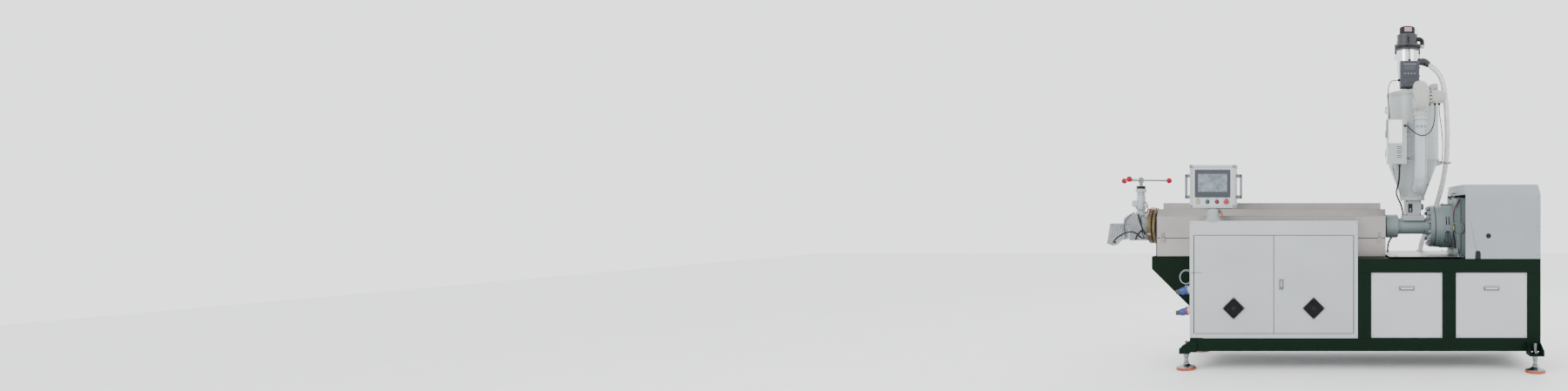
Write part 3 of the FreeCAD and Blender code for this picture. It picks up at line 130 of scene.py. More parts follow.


def finish_of(name, colour, rough, metallic=0.0, vary=0.06, grain=260, bump=0.06, deep=0.0004,
        stretch=(1, 1, 1), cloud=3.0, coat=0.0, second=None, specular=0.5):
    """One surface: cloudy colour and roughness, and a fine grain that also bumps it."""
    made, tree, shader = nodes_of(name)
    colour = tinted(colour, 1 if name in BRIGHT else STUDIO_SHADE)
    broad = noise(tree, cloud, 4.0)
    fine = noise(tree, grain, 3.0, stretch)
    other = second or tinted(colour, 1 - vary * 1.6)
    tree.links.new(between(tree, spread(tree, broad, 0.0, 1.0), tinted(colour, 1 + vary / 2),
        other), shader.inputs["Base Color"])
    tree.links.new(spread(tree, fine, rough * 0.85, min(1.0, rough * 1.2)),
        shader.inputs["Roughness"])
    bumped = tree.nodes.new("ShaderNodeBump")
    bumped.inputs["Strength"].default_value = min(1.0, bump * 4)
    bumped.inputs["Distance"].default_value = deep
    tree.links.new(fine, bumped.inputs["Height"])
    tree.links.new(bumped.outputs["Normal"], shader.inputs["Normal"])
    shader.inputs["Metallic"].default_value = metallic
    shader.inputs["Coat Weight"].default_value = coat
    shader.inputs["Coat Roughness"].default_value = 0.12
    shader.inputs["Specular IOR Level"].default_value = specular
    return made


def banded_tint(name, first, second, rough, scale):
    """Steel that heat has tinted in uneven bands."""
    return finish_of(name, first, rough, metallic=0.9, second=second, cloud=scale, grain=300,
        bump=0.1)


def clear_plastic(name, colour):
    made, tree, shader = nodes_of(name)
    broad = noise(tree, 14, 3.0)
    tree.links.new(between(tree, spread(tree, broad, 0.0, 1.0), colour, tinted(colour, 0.86)),
        shader.inputs["Base Color"])
    tree.links.new(spread(tree, broad, 0.18, 0.34), shader.inputs["Roughness"])
    shader.inputs["Transmission Weight"].default_value = 0.55
    shader.inputs["IOR"].default_value = 1.3
    shader.inputs["Subsurface Weight"].default_value = 0.15
    return made


BRUSH_X = (0.02, 1, 1)
BRUSH_Z = (1, 1, 0.02)
PAINT = {}


def paint(name, colour, rough, **more):
    PAINT[name] = finish_of(name, colour, rough, **more)


paint("green", (0.0006, 0.0125, 0.0045), 0.55, vary=0.10, grain=420, specular=0.10)
paint("panel", (0.58, 0.60, 0.62), 0.45, vary=0.04, grain=900, bump=0.12)
paint("cabinet", (0.51, 0.54, 0.55), 0.45, vary=0.04, grain=900, bump=0.12)
paint("cover", (0.35, 0.38, 0.41), 0.42, vary=0.04, grain=700, bump=0.10)
paint("gear", (0.22, 0.275, 0.28), 0.50, vary=0.12, grain=160, bump=0.22, deep=0.001)
paint("cast", (0.38, 0.41, 0.42), 0.48, vary=0.08, grain=220, bump=0.18)
paint("dryer", (0.44, 0.485, 0.475), 0.26, vary=0.04, grain=120, bump=0.03, coat=0.35)
paint("cream", (0.50, 0.50, 0.455), 0.32, vary=0.05, grain=200, coat=0.2)
paint("brushed", (0.40, 0.375, 0.35), 0.34, metallic=0.9, vary=0.16, grain=900, bump=0.10,
    stretch=BRUSH_X, cloud=1.6)
paint("mirror", (0.70, 0.71, 0.72), 0.12, metallic=1.0, vary=0.06, grain=500, bump=0.02,
    stretch=BRUSH_Z, cloud=6)
paint("steel", (0.36, 0.37, 0.385), 0.28, metallic=1.0, vary=0.10, grain=500, bump=0.08, cloud=9)
paint("bed", (0.17, 0.18, 0.185), 0.32, metallic=0.6, vary=0.14, grain=700, bump=0.08,
    stretch=BRUSH_X, cloud=4)
paint("tool", (0.33, 0.345, 0.37), 0.36, metallic=0.6, vary=0.16, grain=320, bump=0.12, cloud=7)
paint("nozzle", (0.32, 0.34, 0.355), 0.40, metallic=0.4, vary=0.14, grain=260, bump=0.12, cloud=9)
PAINT["tint"] = banded_tint("tint", (0.19, 0.15, 0.075), (0.055, 0.032, 0.020), 0.46, 14)
PAINT["copper"] = banded_tint("copper", (0.18, 0.075, 0.050), (0.09, 0.035, 0.028), 0.34, 12)
paint("black", (0.006, 0.006, 0.0065), 0.5, vary=0.3, grain=500, bump=0.12, specular=0.25)
# near-black painted shade, set into slots, holes and gaps whose insides fall in shade
paint("painted_shade", (0.004, 0.004, 0.005), 0.85, vary=0.3, grain=200)
paint("dark", (0.030, 0.038, 0.052), 0.42, vary=0.10, grain=600, bump=0.12)
paint("slate", (0.026, 0.031, 0.038), 0.45, vary=0.08, grain=700, bump=0.12)
paint("blue", (0.006, 0.055, 0.34), 0.36, vary=0.10, grain=300, coat=0.05)
paint("red", (0.42, 0.006, 0.010), 0.3, vary=0.12, grain=200, coat=0.1)
paint("crimson", (0.42, 0.002, 0.026), 0.42, vary=0.10, grain=120, specular=0.2, bump=0.02)
paint("yellow", (0.50, 0.33, 0.006), 0.35, vary=0.08, grain=300)
paint("lime", (0.010, 0.12, 0.075), 0.3, vary=0.08, grain=300)
paint("maroon", (0.16, 0.012, 0.016), 0.28, vary=0.08, grain=300, coat=0.3)
paint("rubber", (0.50, 0.085, 0.030), 0.55, vary=0.14, grain=380, bump=0.2)
paint("cable", (0.006, 0.006, 0.0065), 0.45, vary=0.2, grain=600, bump=0.1, specular=0.25)
paint("grey", (0.20, 0.21, 0.225), 0.45, vary=0.08, grain=600, bump=0.1)
paint("screen", (0.010, 0.012, 0.018), 0.10, vary=0.2, grain=60, bump=0.01, coat=1.0)
paint("satin", (0.47, 0.435, 0.415), 0.36, metallic=0.75, vary=0.12, grain=900, bump=0.08,
    stretch=BRUSH_X, cloud=1.8)
paint("white", (0.78, 0.78, 0.76), 0.34, vary=0.03, grain=300, bump=0.04)
paint("pipe", (0.50, 0.54, 0.58), 0.30, vary=0.04, grain=120, bump=0.03, coat=0.25)
paint("rose", (0.50, 0.27, 0.29), 0.20, vary=0.10, grain=60, coat=0.6)
paint("film", (0.065, 0.090, 0.115), 0.16, vary=0.5, grain=14, bump=0.05, deep=0.002, cloud=30,
    coat=0.8, second=(0.16, 0.19, 0.22))
PAINT["clear"] = clear_plastic("clear", (0.60, 0.62, 0.58))


# ---- mesh tools

def rounded(radius, length, bevel=1.5):
    """A bar's profile as (radius, height) pairs, with rounded rims."""
    soft = min(bevel, radius * 0.45, length * 0.45)
    near = soft * 0.3
    return [(0, 0), (radius - soft, 0), (radius - near, near), (radius, soft),
        (radius, length - soft), (radius - near, length - near), (radius - soft, length),
        (0, length)]


class Piece:
    """One named piece, built up from parts in millimetres of the shared frame."""

    def __init__(self, name, body="base"):
        self.name = name
        self.body = body
        self.bm = bmesh.new()
        self.paints = []

    def painted(self, faces, paint):
        if paint not in self.paints:
            self.paints.append(paint)
        number = self.paints.index(paint)
        for face in faces:
            face.material_index = number

    def box(self, paint, across, deep, tall, bevel=2.0, steps=2, turn=None):
        """A block with rounded edges; turn is (point, axis, degrees)."""
        sides = [sorted(side) for side in (across, deep, tall)]
        corners = [self.bm.verts.new((x, y, z)) for x in sides[0] for y in sides[1]
            for z in sides[2]]
        loops = [(0, 1, 3, 2), (4, 6, 7, 5), (0, 4, 5, 1), (2, 3, 7, 6), (0, 2, 6, 4),
            (1, 5, 7, 3)]
        faces = [self.bm.faces.new([corners[i] for i in loop]) for loop in loops]
        self.painted(faces, paint)
        room = min(side[1] - side[0] for side in sides)
        self.soften(faces, min(bevel, room * 0.4), steps, turn)

    def soften(self, faces, bevel, steps=2, turn=None):
        edges = list(dict.fromkeys(edge for face in faces for edge in face.edges))
        points = list(dict.fromkeys(point for face in faces for point in face.verts))
        if bevel > 0:
            made = bmesh.ops.bevel(self.bm, geom=edges, offset=bevel, segments=steps, profile=0.5,
                affect="EDGES", clamp_overlap=True)
            new = [point for face in made["faces"] for point in face.verts]
            points = list(dict.fromkeys(new + [point for point in points if point.is_valid]))
        if turn:
            self.turned(points, *turn)

    def turned(self, points, centre, axis, degrees):
        bmesh.ops.rotate(self.bm, cent=Vector(centre), verts=points,
            matrix=Matrix.Rotation(radians(degrees), 3, axis))

    def skin(self, rings):
        """The faces between each ring of points and the next; a ring may be one point."""
        faces = []
        for below, above in zip(rings, rings[1:]):
            count = max(len(below), len(above))
            for i in range(count if count > 1 else 0):
                j = (i + 1) % count
                corners = (below[i % len(below)], below[j % len(below)], above[j % len(above)],
                    above[i % len(above)])
                faces.append(self.bm.faces.new(list(dict.fromkeys(corners))))
        return faces

    def prism(self, paint, outline, low, high, bevel=1.5):
        """An outline of (y, z) places, drawn from low to high along x."""
        rings = [[self.bm.verts.new((x, y, z)) for y, z in outline] for x in (low, high)]
        faces = [self.bm.faces.new(ring) for ring in rings] + self.skin(rings)
        self.painted(faces, paint)
        self.soften(faces, bevel)

    def lathe(self, paint, start, way, profile, sides=48, turn=0.0):
        """A profile of (radius, height) pairs turned about an axis from start along way."""
        way = Vector(way).normalized()
        flat = Vector(RIGHT) if abs(way.z) > 0.99 else way.orthogonal().normalized()
        other = way.cross(flat)
        angles = [radians(turn + 360 * i / sides) for i in range(sides)]
        rings = []
        for radius, height in profile:
            at = Vector(start) + way * height
            places = [at] if radius < 1e-6 else [at + (flat * cos(angle) + other * sin(angle))
                * radius for angle in angles]
            rings.append([self.bm.verts.new(place) for place in places])
        self.painted(self.skin(rings), paint)

    def solid(self, paint, start, way, profile, sides=48, turn=0.0):
        """A turned shape that is flat and closed at both ends."""
        ends = (0, profile[0][1]), (0, profile[-1][1])
        self.lathe(paint, start, way, [ends[0], *profile, ends[1]], sides, turn)

    def bar(self, paint, start, way, radius, length, bevel=1.5, sides=48):
        self.lathe(paint, start, way, rounded(radius, length, bevel), sides)

    def ring(self, paint, start, way, outer, inner, length, bevel=1.0, sides=48):
        soft = min(bevel, (outer - inner) * 0.4, length * 0.4)
        profile = [(inner, soft), (inner + soft, 0), (outer - soft, 0), (outer, soft),
            (outer, length - soft), (outer - soft, length), (inner + soft, length),
            (inner, length - soft), (inner, soft)]
        self.lathe(paint, start, way, profile, sides)

    def ball(self, paint, centre, radius, sides=32):
        steps = sides // 2
        profile = [(radius * sin(pi * i / steps), -radius * cos(pi * i / steps))
            for i in range(steps + 1)]
        profile[0] = (0, -radius)
        profile[-1] = (0, radius)
        self.lathe(paint, centre, UP, profile, sides)

    def bolt(self, paint, at, way, size, washer=True, socket=False):
        """A hexagon or socket head, with its washer, standing on a face."""
        way = Vector(way).normalized()
        base = Vector(at)
        if washer:
            self.bar(paint, base, way, size * 1.15, size * 0.22, 0.4, 24)
            base = base + way * size * 0.2
        if socket:
            self.lathe(paint, base, way, [(0, 0), (size * 0.85, 0), (size * 0.85, size * 0.8),
                (size * 0.75, size * 0.9), (size * 0.45, size * 0.9), (size * 0.45, size * 0.4),
                (0, size * 0.4)], 20)
        else:
            self.lathe(paint, base, way, [(0, 0), (size, 0), (size, size * 0.6),
                (size * 0.86, size * 0.72), (0, size * 0.72)], 6, turn=15)

    def pipe(self, paint, points, radius, sides=12, steps=8):
        """A round rod along a smooth line through a few points."""
        points = [Vector(point) for point in points]
        line = []
        for i in range(len(points) - 1):
            before = points[max(i - 1, 0)]
            after = points[min(i + 2, len(points) - 1)]
            for k in range(steps):
                t = k / steps
                line.append(curve_point(before, points[i], points[i + 1], after, t))
        line.append(points[-1])
        self.sweep(paint, line, [radius] * len(line), sides)

    def sweep(self, paint, line, radii, sides):
        """A rod along a line, with its own radius at each point."""
        rings = [[self.bm.verts.new(point) for point in ring] for ring in swept_rings(line, radii,
            sides)]
        ends = [self.bm.faces.new(rings[0]), self.bm.faces.new(rings[-1])]
        self.painted(ends + self.skin(rings), paint)

    def cap(self, paint, at, way, size):
        """A socket head without a washer."""
        self.bolt(paint, at, way, size, False, True)

    def caps(self, paint, across, deep, tall, size, way=FRONT):
        """Socket heads at each crossing of some places across and some heights."""
        for x in across:
            for z in tall:
                self.cap(paint, (x, deep, z), way, size)

    def done(self, slot, *replaced):
        """Turn it into an object that rides on its body and stands for its CAD nodes."""
        bmesh.ops.recalc_face_normals(self.bm, faces=self.bm.faces)
        bmesh.ops.scale(self.bm, vec=(MM, MM, MM), verts=self.bm.verts)
        mesh = bpy.data.meshes.new(self.name)
        self.bm.to_mesh(mesh)
        self.bm.free()
        for paint in self.paints:
            mesh.materials.append(PAINT[paint])
        mesh.shade_smooth()
        mesh.set_sharp_from_angle(angle=radians(SHARP_EDGE))
        made = bpy.data.objects.new(self.name, mesh)
        bpy.context.collection.objects.link(made)
        normals = made.modifiers.new("normals", "WEIGHTED_NORMAL")
        normals.keep_sharp = True
        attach(made, self.body)
        if replaced:
            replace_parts(made, *replaced)
        return made


def curve_point(a, b, c, d, t):
    return 0.5 * ((2 * b) + (c - a) * t + (2 * a - 5 * b + 4 * c - d) * t * t
        + (3 * b - a - 3 * c + d) * t ** 3)


def swept_rings(line, radii, sides):
    """Rings of points round a line, without twist."""
    way = (line[1] - line[0]).normalized()
    flat = way.orthogonal().normalized()
    rings = []
    for i, (at, radius) in enumerate(zip(line, radii)):
        ahead = line[min(i + 1, len(line) - 1)] - line[max(i - 1, 0)]
        turn = way.rotation_difference(ahead.normalized())
        way = ahead.normalized()
        flat = (turn @ flat).normalized()
        other = way.cross(flat)
        rings.append([at + (flat * cos(a) + other * sin(a)) * radius
            for a in (2 * pi * k / sides for k in range(sides))])
    return rings


def mid(low, high):
    return (low + high) / 2


def circle(centre, axis, radius, count, first):
    """Places evenly round an axis along x or z, from a first angle in degrees."""
    x, y, z = centre
    for k in range(count):
        angle = radians(360 / count * k + first)
        a, b = radius * cos(angle), radius * sin(angle)
        yield (x, y + a, z + b) if axis == "x" else (x + a, y + b, z)


def cad(node):
    """A CAD node's box in millimetres: its ranges across, deep and tall."""
    low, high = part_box(node)
    return [(a / MM, b / MM) for a, b in zip(low, high)]


# ---- hose and cables

# each cord's radius, its stiffness and the places that pull its line
ROUTES = {
    "suction_hose": (22.5, "limp", [
        (938.3, 50, 2429.5), (1012, 50, 2377.9), (1052, 53, 2290), (1076, 58, 2150),
        (1090, 72, 1960), (1098, 110, 1740), (1092, 180, 1565), (1066, 270, 1375),
        (1020, 360, 1195), (965, 436, 1030), (915, 458, 905), (915, 458, 810)]),
    "blower_cable": (4, "medium", [
        (702, -289.5, 1890), (702, -330, 1890), (722, -366, 1864), (765, -380, 1820),
        (830, -384, 1795), (885, -368, 1826), (915, -338, 1885), (929, -310, 1950),
        (931, -300, 2005), (931, -300, 2048)]),
    "sensor_cable": (3.5, "medium", [
        (965, -300, 2048), (965, -300, 2002), (974, -284, 1948), (992, -244, 1880),
        (1010, -180, 1810), (1018, -140, 1762), (1025.5, -100, 1709), (1029.5, -54, 1649),
        (1029.5, -16, 1621), (1029.5, 30, 1621)]),
    "controller_cable": (3.5, "medium", [
        (663, -90, 2280), (615, -90, 2280), (588, -104, 2236), (580, -130, 2160),
        (580, -159.5, 2080), (588, -179.5, 2007), (588, -179.5, 1961)]),
    "head_cable": (3.5, "medium", [
        (756, -49, 2640), (756, -91, 2640), (752, -119, 2604), (749, -120, 2536),
        (756, -117, 2490), (756, -117, 2446)]),
    "supply_cable": (7, "medium", [
        (664, -214.5, 1576), (664, -214.5, 1510), (660, -178.5, 1440), (656, -80.5, 1396),
        (662, 29.5, 1368), (684, 119.5, 1330), (722, 185.5, 1270), (742, 217.5, 1185),
        (726, 246, 1100), (672, 262, 1030), (626, 266, 965), (612, 266, 915),
        (612, 266, 870)]),
    "nozzle_cable": (6, "limp", [
        (-1645, -35, 962), (-1645, -90, 962), (-1621, -136, 984), (-1567, -158, 1026),
        (-1495, -164, 1058), (-1437, -164, 1048), (-1407, -118, 1000), (-1407, -55, 1000)]),
    "die_sensor_cable": (4, "medium", [
        (-1413, -55, 1182), (-1413, -99, 1182), (-1408, -131, 1148), (-1397, -139, 1090),
        (-1394, -129, 1032), (-1388, -99, 1000), (-1388, -55, 1000)]),
}


def spline_of(name, points, bevel):
    line = bpy.data.curves.new(name, "CURVE")
    line.dimensions = "3D"
    line.resolution_u = 12
    line.bevel_depth = bevel
    line.bevel_resolution = 5
    line.use_fill_caps = True
    spline = line.splines.new("NURBS")
    spline.points.add(len(points) - 1)
    for point, place in zip(spline.points, points):
        point.co = (*[size * MM for size in place], 1)
    spline.order_u = 3
    spline.use_endpoint_u = True
    made = bpy.data.objects.new(name, line)
    bpy.context.collection.objects.link(made)
    return made


def spline_points(name, points):
    """The points that a route's smooth line runs through."""
    made = spline_of(name + "_line", points, 0)
    bpy.context.view_layer.update()
    line = bpy.data.meshes.new_from_object(made)
    found = [vertex.co.copy() for vertex in line.vertices]
    bpy.data.objects.remove(made)
    return found


def line_length(line):
    return sum((b - a).length for a, b in zip(line, line[1:]))


def even(line, pitch):
    """The same line with points a fixed pitch apart."""
    length = line_length(line)
    count = max(2, round(length / pitch))
    found = []
    gone = 0.0
    step = 0
    for i in range(count + 1):
        want = length * i / count
        while step < len(line) - 2 and gone + (line[step + 1] - line[step]).length < want:
            gone += (line[step + 1] - line[step]).length
            step += 1
        part = (line[step + 1] - line[step])
        found.append(line[step] + part.normalized() * (want - gone))
    return found


def ribbed_hose(name, line, radius):
    """A clear hose with a stiffening rib wound round it."""
    pitch = 9 * MM
    beads = even(line, pitch / 4)
    swell = (0.925, 0.955, 1.0, 0.955)
    ends = 8
    piece = Piece(name)
    radii = [radius * (0.93 if i < ends or i > len(beads) - ends else swell[i % 4])
        for i in range(len(beads))]
    piece.sweep("clear", [point / MM for point in beads], radii, 20)
    return piece, beads


def cords():
    for name, (radius, stiffness, points) in ROUTES.items():
        line = spline_points(name, points)
        if name == "suction_hose":
            piece, beads = ribbed_hose(name + "_clear", line, radius)
            made = piece.done("clear_hose", name)
            continue
        made = spline_of(name + "_sheath", points, radius * MM)
        made.data.materials.append(PAINT["cable"])
        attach(made, "base")
        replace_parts(made, name)


cords()


# ---- operator panel

def operator_panel():
    (left, right), (front, rear), (stem, high) = cad("panel_housing")
    low = 1242
    piece = Piece("panel_case", "operator_panel")
    piece.bar("cast", (mid(left, right), mid(front, rear), low + 6), DOWN, 27, low + 6 - stem, 2)
    piece.bar("cast", (mid(left, right), mid(front, rear), low + 2), DOWN, 40, 12, 3)
    piece.box("panel", (left + 2, right - 2), (front + 4, rear), (low + 2, high - 2), 7, 3)
    edge = 21
    for across, tall in (((left + 4, right - 4), (high - edge, high - 3)),
            ((left + 4, right - 4), (low + 3, low + edge)),
            ((left + 3, left + edge), (low + 4, high - 4)),
            ((right - edge, right - 3), (low + 4, high - 4))):
        piece.box("cabinet", across, (front + 1, front + 9), tall, 3)
    for x in (left, right - 27):
        for z in (low, high - 27):
            piece.box("grey", (x, x + 27), (front - 1, rear + 0.5), (z, z + 27), 3, 2)
    piece.caps("steel", (left + 60, right - 60), rear, (low + 60, high - 60), 5, REAR)
    piece.ring("slate", (mid(left, right), rear - 1, mid(low, high)), REAR, 30, 20, 3)
    piece.done("panel_paint", "panel_housing")

    screen = Piece("panel_display", "operator_panel")
    frame_left, frame_right = left + 43, right - 43
    frame_low, frame_high = low + 84, high - 38
    screen.box("dark", (frame_left, frame_right), (front - 4, front + 4), (frame_low, frame_high),
        4, 3)
    glass = (frame_left + 26, frame_right - 24), (frame_low + 44, frame_high - 34)
    screen.box("grey", (glass[0][0] - 3, glass[0][1] + 3), (front - 4.6, front),
        (glass[1][0] - 3, glass[1][1] + 3), 1)
    screen.box("film", glass[0], (front - 5.4, front), glass[1], 1)
    screen.done("screen_glass", "panel_screen")

    buttons = Piece("panel_buttons_set", "operator_panel")
    z = low + 50
    for place, cap, rim in ((67, "yellow", "steel"), (139.5, "lime", "black"),
            (212, "maroon", "black"), (284, "red", "yellow")):
        at = (left + place, front + 4, z)
        buttons.ring(rim, at, FRONT, 15.5, 11, 6, 1.5, 40)
        if cap == "red":
            buttons.bar("black", at, FRONT, 10, 9, 1, 32)
            buttons.lathe("red", (at[0], at[1] - 6, z), FRONT,
                [(0, 0), (15, 0), (19.5, 3), (20, 7), (18.5, 11), (13, 13.5), (0, 15)], 40)
        elif cap == "yellow":
            buttons.ring("yellow", at, FRONT, 14, 10, 8, 1, 40)
            buttons.bar("cream", at, FRONT, 9.5, 6, 1, 32)
        else:
            buttons.bar(cap, at, FRONT, 11, 8, 1.5, 36)
        buttons.box("grey", (left + place - 12, left + place + 12), (front + 3, front + 4.6),
            (z + 19, z + 25), 0.5)
    buttons.done("red_plastic", "panel_buttons")

    grips = Piece("panel_side_grips", "operator_panel")
    (grip_left, grip_right), (near, far), (grip_low, grip_high) = cad("panel_grips")
    for outer, inner, sign in ((grip_left, left, 1), (grip_right, right, -1)):
        grips.box("grey", sorted((outer, outer + sign * 17)), (near, far), (grip_low, grip_high),
            2, 2)
        for z in (grip_low, grip_high - 27):
            grips.box("grey", sorted((outer + sign * 3, inner + sign * 2)), (near, far),
                (z, z + 27), 4, 3)
            grips.cap("steel", (mid(outer + sign * 14, inner), near, z + 13.5), FRONT, 4)
    grips.done("dark_plastic", "panel_grips")

    post = Piece("panel_swivel_post")
    x, y = mid(left, right), mid(front, rear)
    top = cad("panel_post")[2][1]
    base = cad("cabinet_body")[2][1]
    post.bar("cast", (x, y, base), UP, 76, 9, 2)
    post.solid("cast", (x, y, base + 8), UP, [(60, 0), (55, 6), (51, 18), (51, top - base - 44),
        (53, top - base - 40), (53, top - base - 12), (50, top - base - 8)], 56)
    for at in circle((x, y, base + 9), "z", 66, 6, 30):
        post.bolt("steel", at, UP, 5, True, True)
    post.box("cast", (x + 40, x + 60), (y - 30, y - 8), (top - 30, top - 8), 3)
    post.bar("black", (x + 50, y - 28, top - 18), FRONT, 8, 12, 2, 24)
    post.pipe("red", [(x + 50, y - 38, top - 16), (x + 62, y - 42, top - 20),
        (x + 72, y - 44, top - 40), (x + 76, y - 44, top - 58)], 5.5)
    post.done("cabinet_paint", "panel_post")


operator_panel()


# ---- cabinet

def fan_guard(body, node):
    (left, right), (front, rear), (low, high) = cad(node)
    x, z = mid(left, right), mid(low, high)
    half = (right - left) / 2 / sqrt(2)
    piece = Piece(node + "_guard", body)
    turn = ((x, front, z), "Y", 45)
    edge = half * 0.14
    for sign in (-1, 1):
        piece.box("black", (x - half, x + half), (front, rear),
            sorted((z + sign * half, z + sign * (half - edge))), 2, 2, turn)
        piece.box("black", sorted((x + sign * half, x + sign * (half - edge))), (front, rear),
            (z - half, z + half), 2, 2, turn)
    # a near-black plate behind the grille: painted shade for the dark inside of the fan
    piece.box("painted_shade", (x - half + 2, x + half - 2), (rear - 1.2, rear + 2),
        (z - half + 2, z + half - 2), 0, 1, turn)
    for k in range(5):
        radius = half * (0.34 + 0.14 * k)
        piece.ring("black", (x, front + 2, z), REAR, radius + 1.4, radius - 1.4, 2.6, 0.6, 56)
    for k in range(4):
        piece.box("black", (x - half * 0.96, x + half * 0.96), (front + 3.2, front + 5.6),
            (z - 2, z + 2), 0.5, 1, ((x, front, z), "Y", 45 * k))
    piece.bar("black", (x, front + 1, z), REAR, half * 0.30, 6, 1.5, 40)
    for k in range(7):
        piece.box("black", (x + half * 0.24, x + half * 0.86), (rear - 3.5, rear - 1.5),
            (z - half * 0.14, z + half * 0.14), 0.4, 1, ((x, front, z), "Y", 360 / 7 * k + 12))
    for a in (-1, 1):
        for b in (-1, 1):
            corner = Vector((a * half * 0.87, 0, b * half * 0.87))
            corner.rotate(Matrix.Rotation(radians(45), 3, "Y"))
            piece.cap("steel", (x + corner.x, front + 0.3, z + corner.z), FRONT, 3)
    piece.done("black_plastic", node)


def cabinet():
    fan_guard("left_cabinet_door", "left_door_fan")
    fan_guard("right_cabinet_door", "right_door_fan")
    (left, right), (front, rear), (low, high) = cad("door_latch")
    latch = Piece("door_swing_latch", "right_cabinet_door")
    latch.box("grey", (left, right), (front + 4, rear), (low, high), 5, 3)
    latch.box("black", (left + 5, right - 5), (front + 2.6, rear), (low + 6, high - 6), 3)
    latch.box("cast", (left + 8, right - 8), (front, front + 5), (low + 20, high - 10), 3, 3)
    latch.bar("steel", (mid(left, right), front + 3, low + 14), FRONT, 5.5, 2.5, 0.8, 24)
    latch.done("black_plastic", "door_latch")

    for body, node, sign in (("left_cabinet_door", "left_door", 1),
            ("right_cabinet_door", "right_door", -1)):
        (left, right), (front, rear), (low, high) = cad(node)
        hinge = left if sign > 0 else right
        piece = Piece(node + "_hinges", body)
        for z in (low + 90, mid(low, high), high - 90):
            piece.bar("steel", (hinge + sign * 6, front + 13, z - 22), UP, 3.4, 44, 1, 16)
            piece.box("steel", sorted((hinge + sign * 8, hinge + sign * 36)),
                (front + 14, front + 17), (z - 22, z + 22), 1)
        for z in (low + 22, high - 25):
            piece.box("cabinet", (left + 24, right - 24), (front + 2.2, front + 12), (z, z + 3),
                0.6)
        piece.done("cabinet_paint")

    (left, right), (front, rear), (low, high) = cad("cabinet_body")
    trim = Piece("cabinet_trim")
    trim.caps("steel", (left + 12, right - 12), front, (low + 16, high - 14), 3.6)
    # louvres: near-black painted shade in each slot, under a slat of cabinet paint
    for k in range(9):
        z = high - 150 - k * 14
        trim.box("painted_shade", (left - 0.6, left + 1), (front + 90, front + 190), (z, z + 6), 0.2)
        trim.box("cabinet", (left - 3, left + 1), (front + 88, front + 192), (z + 5, z + 8), 0.8)
    trim.done("cabinet_paint")


def sockets():
    """Two industrial sockets, each with its plug, that slope down from the cabinet's side."""
    (_, right), (front, rear), (low, high) = cad("power_sockets")
    y = mid(front, rear)
    piece = Piece("power_socket_pair")
    for z, rim in ((high - 52, "blue"), (low + 6, "red")):
        piece.box("panel", (right - 16, right), (y - 34, y + 34), (z - 30, z + 40), 5, 3)
        way = Vector((-0.98, 0, -0.17)).normalized()
        at = Vector((right - 10, y, z + 6))
        piece.bar("panel", at, way, 30, 32, 4, 40)
        piece.bar(rim, at + way * 28, way, 33, 14, 3, 40)
        piece.box("blue", (right - 60, right - 36), (y - 18, y + 18), (z + 26, z + 36), 3)
        piece.bar("blue", at + way * 40, way, 27, 48, 4, 40)
        for k in range(12):
            angle = 2 * pi * k / 12
            off = Vector((0, cos(angle) * 27, sin(angle) * 27))
            piece.bar("blue", at + way * 44 + off, way, 2.2, 36, 1, 8)
        piece.solid("dark", at + way * 87, way, [(23, 0), (23, 6), (20, 12), (19, 30), (17, 38)],
            32)
    coil = [(-963, y + 40, 690)]
    for k in range(33):
        angle = 2 * pi * k / 10.6
        coil.append((-1020 + (57 - k * 0.5) * cos(angle), y + 34 - k * 0.9,
            700 + (60 - k * 0.4) * sin(angle)))
    piece.pipe("cast", coil + [(-963, y + 4, 712)], 1.5, 8, 3)
    piece.done("blue_plastic", "power_sockets")


cabinet()
sockets()


# ---- base frame

FEET = ((-998, -360), (-998, 360), (1666, -465), (1666, 465))
THREAD_PITCH = 3


def feet():
    rubber_top = cad("foot_rubbers")[2][1]
    stud_top = cad("foot_studs")[2][1]
    plate = cad("bottom_rails")[2][0]
    rubbers = Piece("foot_pads")
    studs = Piece("foot_screws")
    for x, y in FEET:
        rubbers.solid("rubber", (x, y, 0), UP, [(72, 0), (75, 2), (75, rubber_top - 4),
            (72.5, rubber_top - 1), (69, rubber_top)], 64)
        dome = rubber_top - 1
        studs.solid("steel", (x, y, dome), UP, [(70, 0), (71, 2), (69, 5), (50, 9), (34, 14),
            (26, 22), (21, 24), (20, 34)], 64)
        studs.bar("black", (x, y, dome + 33), UP, 15, 5, 1, 32)
        thread = [(0, 0)]
        start = dome + 36
        length = stud_top - start
        for k in range(int(length / THREAD_PITCH)):
            rise = k * THREAD_PITCH
            thread += [(11.9, rise + 0.2), (10.7, rise + 1.7)]
        thread += [(11, length - 1), (9, length), (0, length)]
        studs.lathe("steel", (x, y, start), UP, thread, 20)
        sleeve = plate - start - 24
        studs.solid("steel", (x, y, start), UP, [(18, 0), (18, 4), (15, 7), (15, sleeve)], 32)
        studs.ball("steel", (x, y, plate - 24), 20)
        for z in (plate - 20, plate + 12.5):
            studs.solid("steel", (x, y, z), UP, [(19, 0), (21, 1.5), (21, 15), (19, 17)], 6,
                turn=10)
    rubbers.done("red_rubber", "foot_rubbers")
    studs.done("bright_steel", "foot_studs")


